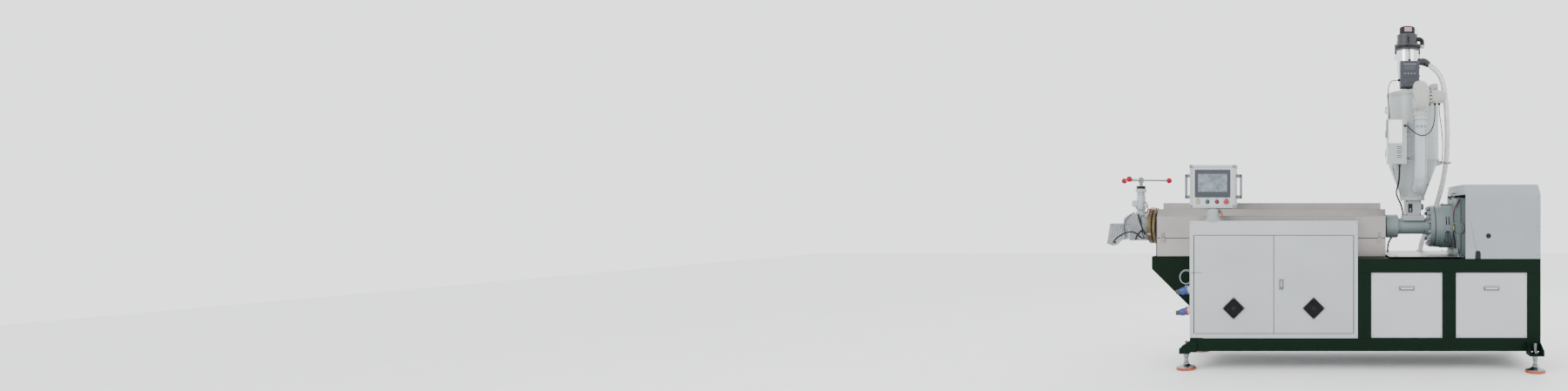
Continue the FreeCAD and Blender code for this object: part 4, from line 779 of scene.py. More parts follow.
def bow_pulls():
    (_, _), (front, rear), (low, high) = cad("panel_handles")
    piece = Piece("panel_bow_pulls")
    places = [(700, front, -1), (1349, front, -1)]
    places += [(x, rear, 1) for x in (-589, 54, 700, 1349)]
    z = mid(low, high)
    for x, tip, way in places:
        face = tip - way * 26
        piece.box("steel", (x - 58, x + 58), sorted((face, face + way * 3)), (z - 16, z + 16), 2,
            2)
        piece.pipe("mirror", [(x - 46, face, z), (x - 46, face + way * 14, z),
            (x - 38, tip - way * 5.5, z), (x - 18, tip - way * 5, z), (x + 18, tip - way * 5, z),
            (x + 38, tip - way * 5.5, z), (x + 46, face + way * 14, z), (x + 46, face, z)], 5, 14,
            6)
        # a thin dark strip under the pull: painted shadow beneath it
        piece.box("slate", (x - 57, x + 57), sorted((face, face + way * 6)), (z - 18, z - 14), 1)
        piece.box("white", (x - 57, x + 57), sorted((face, face + way * 15)), (z + 9, z + 16), 3,
            3)
        for side in (-52, 52):
            piece.box("slate", (x + side - 4, x + side + 4), sorted((face, face + way * 12)),
                (z - 14, z + 8), 2)
            for dz in (-9, 9):
                piece.cap("steel", (x + side, face + way * 3, z + dz), (0, way, 0), 2.4)
    piece.done("bright_steel", "panel_handles")


FRONT_BAYS = ((427, 973), (1076, 1622))     # left and right edges of the bays beside the cabinet


def frame_details():
    """Beads of weld at the posts and the screws that hold the panels."""
    _, (front, rear), (low, high) = cad("bay_panels")
    screws = Piece("panel_screws")
    for bay in FRONT_BAYS:
        for x in (bay[0] + 14, bay[1] - 14):
            for z in (low + 16, high - 16):
                screws.bolt("steel", (x, front, z), FRONT, 4, True, True)
                screws.bolt("steel", (x, rear, z), REAR, 4, True, True)
        for z in (low + 3, high - 7):
            screws.box("panel", (bay[0] + 4, bay[1] - 4), (front - 2.4, front + 2), (z, z + 4), 1)
    screws.done("bright_steel")
    welds = Piece("frame_welds")
    front = cad("posts")[1][0]
    for x in (-962, 324, 973, 1622):
        for z in (749, 249):
            welds.pipe("green", [(x + 2, front + 1.2, z), (x + 50, front + 0.4, z + 0.6),
                (x + 101, front + 1.2, z)], 2.0, 8, 10)
    welds.done("green_paint")


feet()
bow_pulls()
frame_details()


# ---- hood and feed end

def toggles():
    """Over-centre latches at the hood's split."""
    (_, _), (front, rear), (low, high) = cad("toggle_levers")
    piece = Piece("hood_toggle_latches", "barrel_hood")
    for x in (-1233, 515):
        piece.box("steel", (x - 12, x + 12), (rear - 2.5, rear), (low, high), 1.5)
        piece.box("steel", (x - 9, x + 9), (front + 3, front + 6), (low + 4, high - 6), 2)
        piece.box("black", (x - 13.5, x + 13.5), (rear - 1.4, rear), (low - 1.5, high + 1.5), 0.5)
        piece.pipe("steel", [(x - 7, front + 3, low + 10), (x - 7, front + 1.6, low - 4),
            (x, front + 1.6, low - 9), (x + 7, front + 1.6, low - 4),
            (x + 7, front + 3, low + 10)], 1.6, 10, 6)
        piece.bar("steel", (x - 11, mid(front, rear), low + 12), RIGHT, 3, 22, 0.8, 16)
        piece.cap("steel", (x, rear - 2.5, high - 5), FRONT, 2.4)
    piece.done("bright_steel", "toggle_levers")


def hood_trim():
    (left, right), (front, _), (low, high) = cad("hood")
    piece = Piece("hood_trim", "barrel_hood")
    piece.box("satin", (left + 4, right - 4), (front - 0.8, front + 1.5), (low + 3, low + 174),
        0.8)
    # a black strip at the hood's left end: painted shade in the gap between the clamp and the
    # hood
    piece.box("black", (left - 9, left + 1), (front + 3, front + 35), (low + 3, low + 166), 1)
    piece.prism("copper", [(front + 8, low + 178), (front + 62, high - 54),
        (front + 100, high - 44), (front + 100, low + 150), (front + 8, low + 130)], right - 3.5,
        right - 0.4, 1.2)
    for x in (left + 610, left + 1230):
        piece.box("brushed", (x - 1.5, x + 1.5), (front - 1.0, front + 2), (low + 1, low + 172),
            0.6)
    for x in (left + 24, left + 300, left + 600, left + 640, left + 920, left + 1220, left + 1260,
            left + 1540, right - 24):
        piece.cap("steel", (x, front - 0.2, low + 160), FRONT, 3.2)
    piece.done("brushed_sheet")
    tray = Piece("tray_trim")
    (left, right), (front, _), (low, _) = cad("hood_tray")
    for x in (left + 24, left + 460, left + 920, left + 1380, right - 24):
        tray.bolt("steel", (x, front + 13.8, low + 16), FRONT, 3.4, True, True)
    # near-black painted shade in the split between hood and tray, and a black strip of painted
    # shade in the gap at the tray's left end
    tray.box("painted_shade", (left + 2, right - 2), (-115.9, -113), (999.5, 1005.7), 0.3)
    tray.box("black", (left - 9, left + 1), (-112, -80), (858, 1003), 1)
    tray.done("brushed_sheet")


def tray_face():
    """The tray's front sheet, below the split."""
    (left, right), _, (low, _) = cad("hood_tray")
    sheet = Piece("tray_front_sheet")
    sheet.box("satin", (left + 4, right - 4), (-115.6, -113), (low + 4, 999), 0.8)
    for x in (left + 14, right - 14):
        sheet.cap("steel", (x, -115.6, low + 14), FRONT, 3.2)
    sheet.done("brushed_sheet")


def feed_end():
    left, right = cad("feed_cylinder")[0]
    y, z = BARREL_Y, BARREL_Z
    seam = 673
    piece = Piece("feed_cylinder_casting")
    piece.solid("gear", (left, y, z), RIGHT, [(93, 0), (96, 3), (96, seam - left - 4),
        (93, seam - left), (70, seam - left + 1), (67, seam - left + 8), (65, seam - left + 22),
        (65, 880 - left), (67, 898 - left), (73, 914 - left), (84, right - left)], 72)
    piece.bar("gear", (left + 46, y, z - 92), DOWN, 11, 14, 2, 24)
    for at in circle((seam, y, z), "x", 82, 8, 22):
        piece.cap("steel", at, RIGHT, 7)
    for dz in (-38, 38):
        piece.cap("black", (right - 34, y - 52, z + dz), FRONT, 5)
    piece.done("gear_paint", "feed_cylinder")


def magnet_block():
    (left, right), (front, rear), (_, high) = cad("hopper_seat")
    x, y = mid(left, right), mid(front, rear)
    seat = Piece("hopper_seat_bolts")
    for sx in (-1, 1):
        for sy in (-1, 1):
            seat.cap("black", (x + sx * 76, y + sy * (y - front - 18), high), UP, 7)
    seat.done("cast_paint")
    (left, right), (front, rear), (low, high) = cad("magnet_block")
    piece = Piece("magnet_block_fittings")
    # near-black painted shade in the open window of the block
    piece.box("painted_shade", (left + 26, left + 52), (front - 1.2, front + 2), (low + 30, low + 90), 2)
    for dx, dz, wide, tall in ((21, 22, 5, 74), (52, 22, 5, 74), (21, 22, 36, 6),
            (21, 91, 36, 6)):
        piece.box("slate", (left + dx, left + dx + wide), (front - 3, front + 2),
            (low + dz, low + dz + tall), 1.2)
    piece.box("steel", (left + 33, left + 45), (front - 4.5, front), (low + 34, low + 62), 2)
    piece.caps("black", (left + 9, right - 9), front, (low + 9, high - 9), 5.5)
    piece.bar("black", (right, mid(front, rear), low + 74), RIGHT, 9, 14, 1.5, 24)
    piece.solid("slate", (right + 8, mid(front, rear) - 30, low + 70), RIGHT,
        [(22, 0), (24, 3), (24, 10), (20, 14)], 24)
    piece.box("cast", (right, right + 9), (front + 14, rear - 14), (low + 42, low + 104), 2)
    piece.box("mirror", (left + 26, right - 20), (front - 2, front + 12), (high - 1, high + 6),
        1.2)
    piece.done("cast_paint")


# ---- gearbox

def lantern():
    (left, right), (front, rear), _ = cad("gearbox_lantern")
    y, z = mid(front, rear), BARREL_Z
    radius = (rear - front) / 2
    piece = Piece("gearbox_lantern_casting")
    length = right - left
    piece.solid("gear", (left, y, z), RIGHT, [(90, 0), (96, 2), (radius - 12, 2), (radius - 8, 6),
        (radius - 8, 34), (radius - 9, 36), (radius - 13, 38), (radius - 13, 42),
        (radius - 8, 44), (radius - 6, 48), (radius - 5, 84), (radius - 2, 88), (radius, 92),
        (radius, length)], 96)
    for at in circle((left + 1, y, z), "x", 148, 12, 15):
        piece.bar("gear", at, LEFT, 17, 5, 1, 32)
        piece.bolt("tool", (left - 4, at[1], at[2]), LEFT, 15)
    for at in circle((left + 1, y, z), "x", 106, 6, 30):
        piece.cap("steel", at, LEFT, 8)
    piece.ring("slate", (left + 37, y, z), RIGHT, radius - 8.6, radius - 16, 4, 0.5, 96)
    # vent slots filled with near-black painted shade
    for x in (left + 118, left + 140):
        for offset in range(6):
            at = 14 + offset * 11
            side = sqrt(radius ** 2 - (at + 5.5) ** 2)
            piece.box("painted_shade", (x, x + 9), (y - side - 1.2, y - side + 5), (z + at, z + at + 11.5),
                0)
    # more vent slots filled with near-black painted shade
    for offset in range(10):
        at = -36 - offset * 9
        side = sqrt(radius ** 2 - (at - 4.5) ** 2)
        inset = 5 if offset == 0 else 0
        piece.box("painted_shade", (left + 114 + inset, left + 152 - inset),
            (y - side - 1.4, y - side + 5), (z + at - 9.5, z + at), 0)
    for x in (left + 121, left + 133, left + 145):
        piece.box("gear", (x - 1.5, x + 1.5), (y - radius - 3, y - radius + 20),
            (z - 122, z - 48), 0.6, 1)
    piece.box("gear", (left + 100, right), (y - 40, y + 40), (z + radius - 4, z + radius + 6), 4)
    for x in (left + 116, right - 14):
        piece.bolt("steel", (x, y, z + radius + 6), UP, 7)
    piece.done("gear_paint", "gearbox_lantern")


def gearbox_fittings():
    (left, _), (front, rear), (low, high) = cad("gearbox_case")
    piece = Piece("gearbox_case_fittings")
    y = BARREL_Y
    for radius, deep in ((196, 8), (150, 14)):
        piece.solid("gear", (left, y, BARREL_Z), LEFT, [(radius, 0), (radius, deep - 2),
            (radius - 2, deep)], 72)
    for at in circle((left - 8, y, BARREL_Z), "x", 186, 8, 10):
        piece.bolt("steel", at, LEFT, 8)
    piece.box("gear", (left - 12, left + 40), (front - 34, rear + 20), (low, low + 24), 4, 3)
    for at in (front - 18, rear + 6):
        piece.bolt("steel", (left + 14, at, low + 24), UP, 12)
    for z in range(int(low) + 60, int(high) - 30, 46):
        piece.box("gear", (left - 4, left + 30), (front - 6, front + 2), (z, z + 10), 3)
    piece.box("gear", (left, left + 36), (front - 9, front + 4), (low + 10, high - 10), 4, 2)
    piece.pipe("copper", [(left + 30, front + 6, high - 8), (left + 20, front - 14, high - 22),
        (left + 2, front - 19, high - 52), (left - 18, front - 20, high - 92),
        (left - 24, front - 20, high - 140), (left - 22, front - 20, 1128)], 5)
    piece.solid("gear", (left + 24, front, 1085), FRONT, [(46, 0), (46, 8), (42, 12), (24, 13),
        (22, 16)], 48)
    piece.bar("yellow", (left - 22, front - 20, 1088), UP, 8, 16, 1.5, 20)
    piece.bolt("copper", (left - 22, front - 20, 1108), UP, 10, False)
    piece.bar("steel", (left - 22, front - 20, 1066), UP, 7, 22, 1.5, 20)
    piece.pipe("cable", [(left - 22, front - 20, 1070), (left - 24, front - 22, 1030),
        (left - 14, front - 20, 980), (left - 10, front - 14, 936), (left - 2, front - 4, 912)],
        5.5)
    piece.box("cast", (left - 22, left + 16), (front - 24, front + 20), (low + 26, low + 66), 5,
        3)
    piece.bolt("steel", (left - 22, front - 2, low + 46), LEFT, 9)
    piece.bar("black", (left - 2, front + 26, high), UP, 7, 18, 1.5, 20)
    piece.ring("steel", (left + 16, y - 7, high + 26), REAR, 20, 11, 14, 3, 32)
    piece.bar("steel", (left + 16, y, high), UP, 11, 10, 1.5, 24)
    piece.bar("copper", (left - 30, front + 60, high - 6), LEFT, 7, 18, 1.5, 20)
    piece.done("gear_paint")


def cover_trim():
    (left, right), (front, rear), (low, high) = cad("gearbox_cover")
    piece = Piece("gearbox_cover_trim")
    for z in (low + 26, low + 250, low + 470):
        piece.bolt("steel", (right - 22, front, z), FRONT, 4, True, True)
        piece.bolt("steel", (right - 22, rear, z), REAR, 4, True, True)
    for x in (left + 30, mid(left, right), right - 30):
        piece.bolt("steel", (x, mid(front, rear) + 150, high), UP, 4, True, True)
        piece.bolt("steel", (x, mid(front, rear) - 150, high), UP, 4, True, True)
    # louvres: near-black painted shade in each slot, between slats of cover paint
    for k in range(14):
        y = mid(front, rear) - 130 + k * 20
        piece.box("painted_shade", (right - 0.4, right + 0.4), (y, y + 7), (low + 170, low + 330), 0)
        piece.box("cover", (right - 0.4, right + 3), (y + 6, y + 9), (low + 168, low + 332), 1)
    x, z = 1325, 1031          # the round hole in the front
    piece.ring("slate", (x, front + 1, z), FRONT, 20, 17.4, 2, 0.6, 40)
    # near-black painted shade filling the hole
    piece.bar("painted_shade", (x, front + 2, z), FRONT, 17.4, 1, 0.2, 40)
    # near-black painted shade behind an opening low in the front
    piece.box("painted_shade", (1229, 1264), (front + 3, front + 5), (low + 1, low + 60), 0.5)
    piece.done("cover_paint")


toggles()
hood_trim()
tray_face()
feed_end()
magnet_block()
lantern()
gearbox_fittings()
cover_trim()


# ---- dryer hopper

HOPPER_AXIS = (799, 50)
HOPPER_RADIUS = 212.5


def around(piece, paint, centre, radius, angle, wide, deep, tall, bevel=1.5):
    """A small block set on a drum's wall, facing outwards at an angle in degrees."""
    x, y = centre
    piece.box(paint, (x + radius - 1, x + radius + deep), (y - wide / 2, y + wide / 2), tall,
        bevel, 2, ((x, y, 0), "Z", angle))


def hopper():
    wall_low, wall_top = cad("hopper_wall")[2]
    lid_top = cad("hopper_lid")[2][1]
    x, y = HOPPER_AXIS
    lid = Piece("hopper_lid_rim")
    lid.lathe("dryer", (x, y, wall_top), UP, [(0, 0), (216, 0), (218.5, 3), (218.5, 8),
        (215.5, 11), (215.5, 14), (218, 17), (217, 26), (208, 34), (180, 39),
        (90, lid_top - wall_top - 1), (0, lid_top - wall_top)], 112)
    lid.done("dryer_paint", "hopper_lid")
    trim = Piece("hopper_fittings")
    for z, out in ((wall_top - 4, 3.0), (wall_low + 6, 3.2), (1820, 1.2)):
        trim.ring("dryer", (x, y, z - 5), UP, HOPPER_RADIUS + out, 210, 10, 2, 112)
    trim.box("black", (557, 563), (-268, -214), (1800, 1936), 2)
    for z in (1796, 1936):
        trim.box("steel", (556, 563), (-270, -212), (z, z + 7), 1.5)
    for z in (1700, 1860, 2060):
        for dz in (-18, 18):
            around(trim, "steel", HOPPER_AXIS, HOPPER_RADIUS, 170, 26, 6,
                (z + dz - 10, z + dz + 10))
        trim.bar("steel", (x - 218, y + 38, z - 30), UP, 4.5, 60, 1, 16)
    for z in (1740, 2010):
        around(trim, "steel", HOPPER_AXIS, HOPPER_RADIUS, 200, 20, 9, (z - 22, z + 22), bevel=3)
        trim.bar("steel", (x - 206, y - 78, z - 30), UP, 3.5, 50, 1, 16)
    around(trim, "dryer", HOPPER_AXIS, HOPPER_RADIUS, 268, 300, 1.4, (1660, 1664), bevel=0.4)
    trim.done("bright_steel")

    cone = Piece("hopper_cone_fittings")
    low = 1308
    for at in circle((x, y, low + 27), "z", 88, 8, 22.5):
        cone.bolt("black", at, UP, 5.5)
    cone.box("mirror", (x - 22, x + 58), (y - 88, y - 80), (low + 20, low + 31), 2)
    cone.bar("slate", (x - 98, y - 30, low + 110), LEFT, 9, 20, 2, 24)
    cone.bar("steel", (x - 114, y - 30, low + 96), UP, 5, 30, 1.5, 20)
    cone.ring("dryer", (x, y, 1630), UP, 214, 210.5, 7, 2, 112)
    cone.pipe("grey", [(x - 176, y - 86, 1600), (x - 156, y - 84, 1510), (x - 118, y - 74, 1400),
        (x - 108, y - 60, 1330), (x - 92, y - 60, 1288)], 3.2)
    cone.box("dryer", (x + 118, x + 124), (y - 110, y - 60), (1432, 1438), 1)
    cone.ring("grey", (1095, 135, 1621), (0.0, -0.25, 1), 42, 34, 8, 2, 40)
    cone.done("dryer_paint")


# ---- blower and hot air pipe

PIPE_X = 820


def blower():
    y, z = -300, 2113
    volute = Piece("blower_scroll")
    volute.solid("cream", (761, y, z), RIGHT, [(84, 0), (98, 3), (110, 9), (119, 20), (124, 36),
        (126, 54), (125, 72), (120, 88), (108, 102), (90, 112), (70, 117.5)], 88)
    volute.solid("cream", (878, y, z), RIGHT, [(69, 0), (69, 3), (66, 4), (66, 22), (62, 25)], 56)
    # vent slots of near-black painted shade round the scroll's end
    for k in range(14):
        volute.box("painted_shade", (883, 899), (y + 60, y + 69.6), (z - 4.5, z + 4.5), 0.4, 1,
            ((883, y, z), "X", 360 / 14 * k))
    volute.box("cream", (770, 872), (y - 56, y + 56), (1992, z - 30), 10, 3)
    volute.solid("cream", (PIPE_X, y, 1966), UP, [(52, 0), (58, 2), (58, 12), (52, 15), (51, 52)],
        48)
    for at in circle((765, y, z), "x", 106, 8, 20):
        volute.cap("black", at, LEFT, 4)
    volute.bar("slate", (762, y, z), LEFT, 12, 3, 1, 28)
    volute.box("slate", (774, 806), (y - 59, y - 50), (2002, 2030), 2)
    volute.done("dryer_paint", "blower_volute")

    motor = Piece("blower_motor_case")
    motor.solid("cream", (899, y, z), RIGHT, [(47, 0), (50, 3), (50, 94), (48, 99), (42, 104),
        (38, 114), (30, 116)], 56)
    for k in range(20):
        motor.box("cream", (908, 990), (y + 47, y + 50.8), (z - 1.3, z + 1.3), 0.5, 1,
            ((908, y, z), "X", 18 * k))
    for x in (931, 965):
        motor.bar("black", (x, y, 2066), DOWN, 10.5, 4, 1, 6)
        motor.bar("black", (x, y, 2063), DOWN, 8.6, 15, 2, 24)
    motor.box("cream", (918, 978), (y - 30, y + 30), (2062, 2074), 4, 3)
    motor.done("dryer_paint", "blower_motor")

    pipe = Piece("hot_air_pipe_trim")
    for z, radius, tall in ((1930, 55, 8), (1870, 53, 6), (1460, 52, 8)):
        pipe.ring("pipe", (PIPE_X, y, z), UP, radius, 47, tall, 2, 56)
    for at in circle((PIPE_X, y, 1930), "z", 54, 8, 22):
        pipe.cap("black", at, DOWN, 3)
    for dx in (-30, 0, 30):
        pipe.box("black", (PIPE_X + dx - 9, PIPE_X + dx + 9), (y - sqrt(53 ** 2 - dx ** 2) - 5,
            y), (1874, 1882), 1.5)
    pipe.box("cream", (858, 864), (y - 36, y - 20), (1480, 1860), 1.5)
    pipe.done("dryer_paint")


# ---- heater box

def heater_box():
    left, right, front, low, high = 563, 715, -274.5, 1591, 1946
    piece = Piece("heater_box_covers")
    piece.box("white", (left + 10, left + 118), (front - 5, front + 2), (1752, 1936), 8, 4)
    piece.caps("steel", (left + 22, left + 106), front - 5, (1764, 1924), 2.6)
    # louvres: near-black painted shade in each slot, under a slat
    for k in range(6):
        z = 1637 + 17 * k
        piece.box("painted_shade", (left + 72, left + 116), (front - 1.6, front + 2), (z, z + 9), 1)
        piece.box("cast", (left + 70, left + 118), (front - 5, front + 1), (z + 8, z + 12), 1.5)
    piece.caps("steel", (left + 9, right - 9), front, (low + 10, high - 10), 2.6)
    piece.box("cast", (left + 1, right - 1), (front - 1.0, front + 1), (1742, 1745), 0.4)
    for z in (1620, 1824):
        piece.box("dryer", (right - 4, right + 42), (-186, -109), (z, z + 8), 2)
    for z in range(1650, 1820, 24):
        piece.ring("dryer", (731, -147.5, z), UP, 31.5, 28.5, 4, 1, 40)
    for end, way in (((702, -289.5, 1890), FRONT), ((664, -214.5, 1576), DOWN),
            ((588, -179.5, 1961), UP)):
        start = Vector(end) - Vector(way) * 13
        piece.bar("black", start, way, 12, 5, 1, 6)
        piece.bar("black", start + Vector(way) * 4, way, 9.5, 9.5, 1.5, 24)
    piece.done("dryer_paint")


# ---- vacuum loader

def loader():
    x, y = 756, 50
    head = Piece("loader_motor_head")
    head.solid("slate", (x, y, 2542), UP, [(97, 0), (99, 2), (99, 53), (97, 55), (86, 56),
        (84, 60), (84, 96), (82.5, 98), (82.5, 102), (84, 104), (84, 134), (80, 137), (66, 138)],
        88)
    head.ring("black", (x, y, 2556), UP, 99.6, 96, 24, 2, 88)
    head.lathe("black", (x, y, 2679), UP, [(0, 0), (64, 0), (64, 8), (63, 10), (64, 13), (64, 54),
        (62, 60), (50, 66), (26, 71), (0, 72)], 72)
    for angle in (90, 270):
        around(head, "rose", (x, y), 56, angle, 62, 9.4, (2692, 2733), bevel=2)
        for side in (-13, 13):
            around(head, "black", (x, y), 56, angle + side * 2.4, 7, 10, (2690, 2735), bevel=1)
    head.ring("black", (x, y, 2680), UP, 66, 62, 9, 2, 72)
    for k in range(3):
        angle = 120 * k + 30
        around(head, "black", (x, y), 84, angle, 18, 9, (2600, 2640), bevel=3)
    for side in (-1, 1):
        cx = x + side * 96
        head.box("black", sorted((cx - side * 4, cx + side * 8)), (y - 16, y + 16), (2520, 2600),
            4, 3)
        head.box("mirror", sorted((cx + side * 6, cx + side * 10)), (y - 8, y + 8), (2508, 2584),
            2)
        head.pipe("steel", [(cx + side * 6, y - 8, 2516), (cx + side * 4, y - 10, 2484),
            (cx + side * 2, y, 2474), (cx + side * 4, y + 10, 2484),
            (cx + side * 6, y + 8, 2516)], 1.8, 10, 6)
    head.pipe("black", [(x + 70, y - 20, 2638), (x + 104, y - 20, 2638), (x + 119, y - 20, 2622),
        (x + 121, y - 20, 2590)], 18, 24, 8)
    head.ring("cream", (x + 121, y - 20, 2592), DOWN, 17, 12, 26, 2, 32)
    head.pipe("cream", [(x + 60, y - 30, 2716), (x + 78, y - 34, 2712), (x + 84, y - 34, 2696),
        (x + 78, y - 34, 2682), (x + 62, y - 30, 2678)], 2.2, 10, 8)
    head.bar("black", (x, y - 84, 2640), FRONT, 9, 15, 2, 24)
    head.done("dark_plastic", "loader_head")

    vessel = Piece("loader_vessel_fittings")
    for z in (2396, 2534):
        vessel.ring("mirror", (x, y, z), UP, 97.5, 94, 6, 1.5, 88)
    inlet = Vector((848, 50, 2457))
    vessel.solid("slate", inlet, RIGHT, [(33, 0), (33, 4), (29, 6), (29, 32), (32, 34), (32, 44)],
        40)
    way = Vector((cos(radians(35)), 0, -sin(radians(35))))
    start = Vector((899, 50, 2457))
    vessel.ball("slate", start, 29)
    vessel.solid("slate", start, way, [(28, 0), (28, 12), (31, 14), (31, 22), (27, 24), (27, 44)],
        40)
    vessel.ring("steel", start + way * 34, way, 27, 22, 9, 1.5, 40)
    vessel.box("steel", (x - 12, x + 12), (y - 98, y - 92), (2400, 2412), 2)
    vessel.done("mirror_sheet")

    panel = Piece("loader_control_box")
    left, right, front, low, high = 678, 834, -135, 2214, 2431
    panel.box("dark", (left, right), (front + 4, -45), (low, high), 8, 4)
    panel.box("slate", (left + 7, right - 7), (front + 1, front + 8), (low + 7, high - 7), 5, 3)
    panel.box("dark", (left + 11, right - 11), (front, front + 6), (low + 11, high - 11), 4, 3)
    panel.box("screen", (left + 34, right - 34), (front - 1.4, front + 2), (high - 76, high - 40),
        1.5)
    panel.box("grey", (left + 24, right - 24), (front - 0.8, front + 2), (high - 34, high - 24),
        1)
    for row in range(2):
        for k in range(4):
            cx = left + 40 + k * 25.5
            panel.box("slate" if row else "grey", (cx - 8, cx + 8), (front - 2.2, front + 2),
                (high - 112 - row * 26, high - 98 - row * 26), 2, 3)
    panel.bar("red", (left + 40, front + 2, low + 46), FRONT, 5, 4, 1, 20)
    panel.box("slate", (left + 60, right - 26), (front - 1, front + 2), (low + 38, low + 54), 1)
    panel.caps("steel", (left + 12, right - 12), front + 1, (low + 12, high - 12), 3)
    for z in (low + 60, low + 100, high - 50):
        panel.bar("black", (right - 1, -90, z), RIGHT, 9, 9, 1.5, 24)
    panel.bar("black", (left + 1, -90, 2280), LEFT, 11.5, 6, 1, 6)
    panel.bar("black", (left - 4, -90, 2280), LEFT, 9.5, 11, 1.5, 24)
    panel.bar("black", (756, -117, high - 1), UP, 11.5, 5, 1, 6)
    panel.bar("black", (756, -117, high + 3), UP, 9.5, 12, 1.5, 24)
    panel.done("dark_plastic", "loader_controller")


# ---- die end

def die_end():
    y = BARREL_Y
    ring = Piece("barrel_clamp_bands")
    ring.solid("tint", (-1373, y, BARREL_Z), RIGHT, [(132, 0), (142, 4), (142, 34), (138, 38),
        (128, 40), (128, 44), (145, 46), (148, 49), (148, 67), (145, 70)], 96)
    for at in circle((-1373, y, BARREL_Z), "x", 118, 12, 15):
        ring.cap("tool", at, LEFT, 9)
    for angle in (205, 262, 318):
        turn = ((-1353, y, BARREL_Z), "X", angle)
        ring.box("tool", (-1369, -1337), (y + 132, y + 143), (1083, 1107), 3, 2, turn)
    ring.done("heat_tinted_steel", "barrel_flange")

    block = Piece("die_block_plates")
    left, right, front, low, high = -1570, -1373, -40, 980, 1200
    block.box("tool", (left + 66, right - 8), (front - 4, front + 1), (low + 22, high - 22), 3)
    block.box("nozzle", (right - 58, right - 22), (front - 7, front - 3), (low + 38, high - 38),
        3)
    block.caps("steel", (left + 78, right - 18), front - 4, (low + 34, mid(low, high), high - 34),
        6.5)
    for x in (left + 22, left + 44):
        block.cap("steel", (x, front, 1112), FRONT, 7)
    # two holes in the block's face, filled with near-black painted shade
    for z in (1030, 1160):
        block.bar("painted_shade", (-1483, front + 0.8, z), FRONT, 8, 4, 0.5, 28)
    for x in (-1545, -1492, -1400):
        for at in (y - 66, y + 66):
            block.cap("black", (x, at, high if x > -1513 else 1178), UP, 7)
    block.box("tool", (left + 2, right), (front - 1.5, front + 1), (1072, 1075), 0.5)
    for x, z in ((-1407, 1000), (-1413, 1182), (-1388, 1000)):
        block.bar("steel", (x, front + 1, z), FRONT, 11, 6, 1, 6)
        block.bar("black", (x, front - 4, z), FRONT, 9.4, 10, 1.5, 24)
    block.done("tool_steel")

    nozzle = Piece("nozzle_face")
    for dy in (-52, -26, 0, 26, 52):
        nozzle.box("nozzle", (-1696, -1572), (y + dy - 3, y + dy + 3), (1112, 1117.5), 1.5)
    for k, x in enumerate((-1672, -1652, -1632, -1612, -1592)):
        lean = ((x, -21, 1050), "Y", 16 - 2 * k)
        nozzle.box("pipe", (x - 3, x + 3), (-24.4, -18), (1000, 1102), 1.5, 2, lean)
        nozzle.box("grey", (x + 4, x + 7), (-20.8, -18), (1004, 1098), 0.5, 1, lean)
    nozzle.caps("steel", (-1667, -1597), -22, (1098, 1016), 5.5)
    nozzle.bar("steel", (-1645, -19, 962), FRONT, 11, 6, 1, 6)
    nozzle.bar("black", (-1645, -24, 962), FRONT, 9.4, 11.5, 1.5, 24)
    nozzle.done("tool_steel")

    column = Piece("valve_column_collars")
    x = -1451
    column.solid("pipe", (x, y, 1200), UP, [(44, 0), (44, 10), (40, 13), (32, 14), (32, 150),
        (30, 151), (30, 156), (32, 157), (32, 176), (38, 177), (45, 178), (45, 200), (38, 203),
        (36, 204), (36, 226), (33, 229)], 64)
    column.ring("cream", (x, y, 1378), UP, 45.8, 43, 20, 2.5, 64)
    column.ring("black", (x, y, 1404), UP, 36.8, 34, 22, 2, 56)
    for z in (1352, 1366):
        for k in range(6):
            angle = radians(60 * k + 15)
            column.cap("black", (x + 32 * cos(angle), y + 32 * sin(angle), z),
                (cos(angle), sin(angle), 0), 3.4)
    for side in (-1, 1):
        column.box("nozzle", (x + side * 30 - 3, x + side * 30 + 3), (y - 12, y + 12),
            (1214, 1348), 2)
    column.bar("steel", (x, y, 1428), UP, 12, 24, 2, 32)
    column.done("tool_steel", "valve_column")

    handle = Piece("valve_hub_cap", "valve_handle")
    handle.solid("nozzle", (x, y, 1455), UP, [(18, 0), (20, 2), (20, 37), (17, 40), (10, 42)], 48)
    handle.cap("black", (x, y, 1496), UP, 6)
    handle.done("bright_steel")

    box = Piece("thermocouple_head")
    left, right, front, rear, low, high = -1519, -1471, 20, 80, 1254, 1308
    box.box("pipe", (left + 6, right), (front, rear), (low, high), 6, 3)
    box.box("cast", (left, left + 8), (front + 2, rear - 2), (low + 2, high - 2), 5, 3)
    for z in (low + 9, high - 9):
        box.cap("steel", (mid(left, right), front, z), FRONT, 2.6)
    box.done("cast_paint", "terminal_box")

    wires = Piece("die_conduits")
    wires.pipe("grey", [(-1484, 22, 1258), (-1478, 6, 1240), (-1440, -6, 1228),
        (-1408, -10, 1236), (-1392, -6, 1262), (-1396, 4, 1288), (-1414, 16, 1296)], 4.5, 12, 8)
    wires.pipe("grey", [(-1414, 16, 1296), (-1398, 30, 1276), (-1390, 34, 1240),
        (-1394, 30, 1202)], 4.5, 12, 8)
    wires.pipe("red", [(-1398, 0, 1202), (-1384, -16, 1214), (-1360, -10, 1236), (-1332, 8, 1240),
        (-1306, 20, 1232)], 2.6, 10, 8)
    wires.pipe("red", [(-1404, 10, 1202), (-1388, 2, 1222), (-1362, 8, 1244), (-1334, 22, 1248),
        (-1306, 34, 1238)], 2.6, 10, 8)
    wires.pipe("cable", [(-1452, -36, 1194), (-1440, -62, 1160), (-1420, -78, 1110),
        (-1402, -76, 1062), (-1394, -52, 1030)], 6, 14, 8)
    wires.pipe("cable", [(-1416, -46, 1066), (-1436, -66, 1046), (-1456, -68, 1018),
        (-1470, -54, 988)], 5.5, 14, 8)
    wires.pipe("black", [(-1545, -46, 1150), (-1560, -52, 1120), (-1562, -52, 1060),
        (-1548, -46, 1010)], 2.2, 10, 8)
    wires.pipe("copper", [(-1545, -46, 1150), (-1524, -50, 1176), (-1496, -40, 1204),
        (-1484, -10, 1216)], 2.2, 10, 8)
    wires.done("cable_rubber")


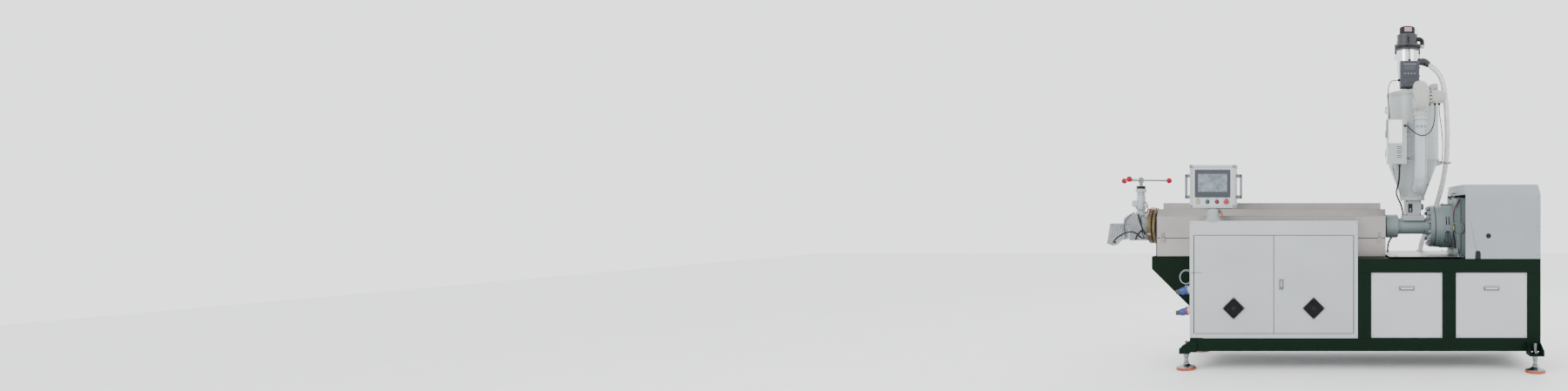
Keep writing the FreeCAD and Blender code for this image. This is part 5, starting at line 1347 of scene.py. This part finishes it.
def bed_top():
    """The gland where the supply cable goes in, and the bolts and sheet on the bed."""
    piece = Piece("bed_top_fittings")
    top = cad("bed_plate")[2][1]
    piece.bar("steel", (612, 266, top - 1), UP, 12, 5, 1, 6)
    piece.bar("black", (612, 266, top + 3), UP, 9.4, 12, 1.5, 24)
    for x in (620, 880, 1100):
        for y in (-380, 380):
            piece.bolt("steel", (x, y, top), UP, 8, True, True)
    piece.box("bed", (566, 1140), (-406, 406), (top - 0.5, top + 1.2), 0.5)
    piece.done("bright_steel")


hopper()
blower()
heater_box()
loader()
die_end()
bed_top()


# ---- CAD nodes that stay

def keep_cad(paint, name):
    """A CAD node whose shape is right: softened edges and its own finish."""
    node = frame["nodes"][name]
    node.data.materials.clear()
    node.data.materials.append(PAINT[paint])
    weld = node.modifiers.new("weld", "WELD")
    weld.merge_threshold = 0.00001
    soft = node.modifiers.new("soft", "BEVEL")
    soft.width = 2 * MM
    soft.segments = 2
    soft.limit_method = "ANGLE"
    soft.angle_limit = radians(40)
    soft.harden_normals = False
    normals = node.modifiers.new("normals", "WEIGHTED_NORMAL")
    normals.keep_sharp = True


REPLACED = {node for made in bpy.data.objects for node in made.get("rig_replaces", [])}
# a slot's look has the slot's first word as its name, but for these
LOOK_OF_SLOT = {"bright_steel": "steel", "heat_tinted_steel": "tint", "dark_plastic": "slate",
                "red_plastic": "crimson", "red_rubber": "rubber"}
LOOK_OF_NODE = {"hot_air_pipe": "pipe", "return_pipe": "dryer", "nozzle_block": "nozzle",
                "star_handle": "tool", "heater_box": "dryer"}
for part in frame["record"]["subparts"]:
    node, slot = part["node"], part["material_slot"]
    if node not in REPLACED:
        look = LOOK_OF_SLOT.get(slot, slot.split("_")[0])
        keep_cad(LOOK_OF_NODE.get(node, look), node)


# ---- studio

def floor_and_light():
    floor = bpy.data.meshes.new("floor")
    wide = 14
    corners = [(-wide, -wide, 0), (wide, -wide, 0), (wide, wide, 0), (-wide, wide, 0)]
    floor.from_pydata([Vector(corner) for corner in corners], [], [(0, 1, 2, 3)])
    made = bpy.data.objects.new("floor", floor)
    bpy.context.collection.objects.link(made)
    floor.materials.append(finish_of("floor", (0.86, 0.86, 0.86), 0.6, vary=0.02, grain=30))
    world = bpy.data.worlds.new("studio")
    world.use_nodes = True
    world.node_tree.nodes["Background"].inputs["Color"].default_value = (0.97, 0.985, 1, 1)
    world.node_tree.nodes["Background"].inputs["Strength"].default_value = 2.2
    bpy.context.scene.world = world
    for name, at, aim, power, size in (("key", (-3.6, -4.6, 4.2), (0, 0, 1.0), 150, 3.0),
            ("fill", (4.4, -4.0, 2.6), (0.4, 0, 1.2), 60, 3.0),
            ("back", (0.5, 4.5, 4.0), (0, 0, 1.2), 120, 3.5)):
        lamp = bpy.data.lights.new(name, "AREA")
        lamp.energy = power
        lamp.size = size
        light = bpy.data.objects.new(name, lamp)
        bpy.context.collection.objects.link(light)
        light.location = at
        light.rotation_euler = (Vector(aim) - Vector(at)).to_track_quat("-Z", "Y").to_euler()


floor_and_light()
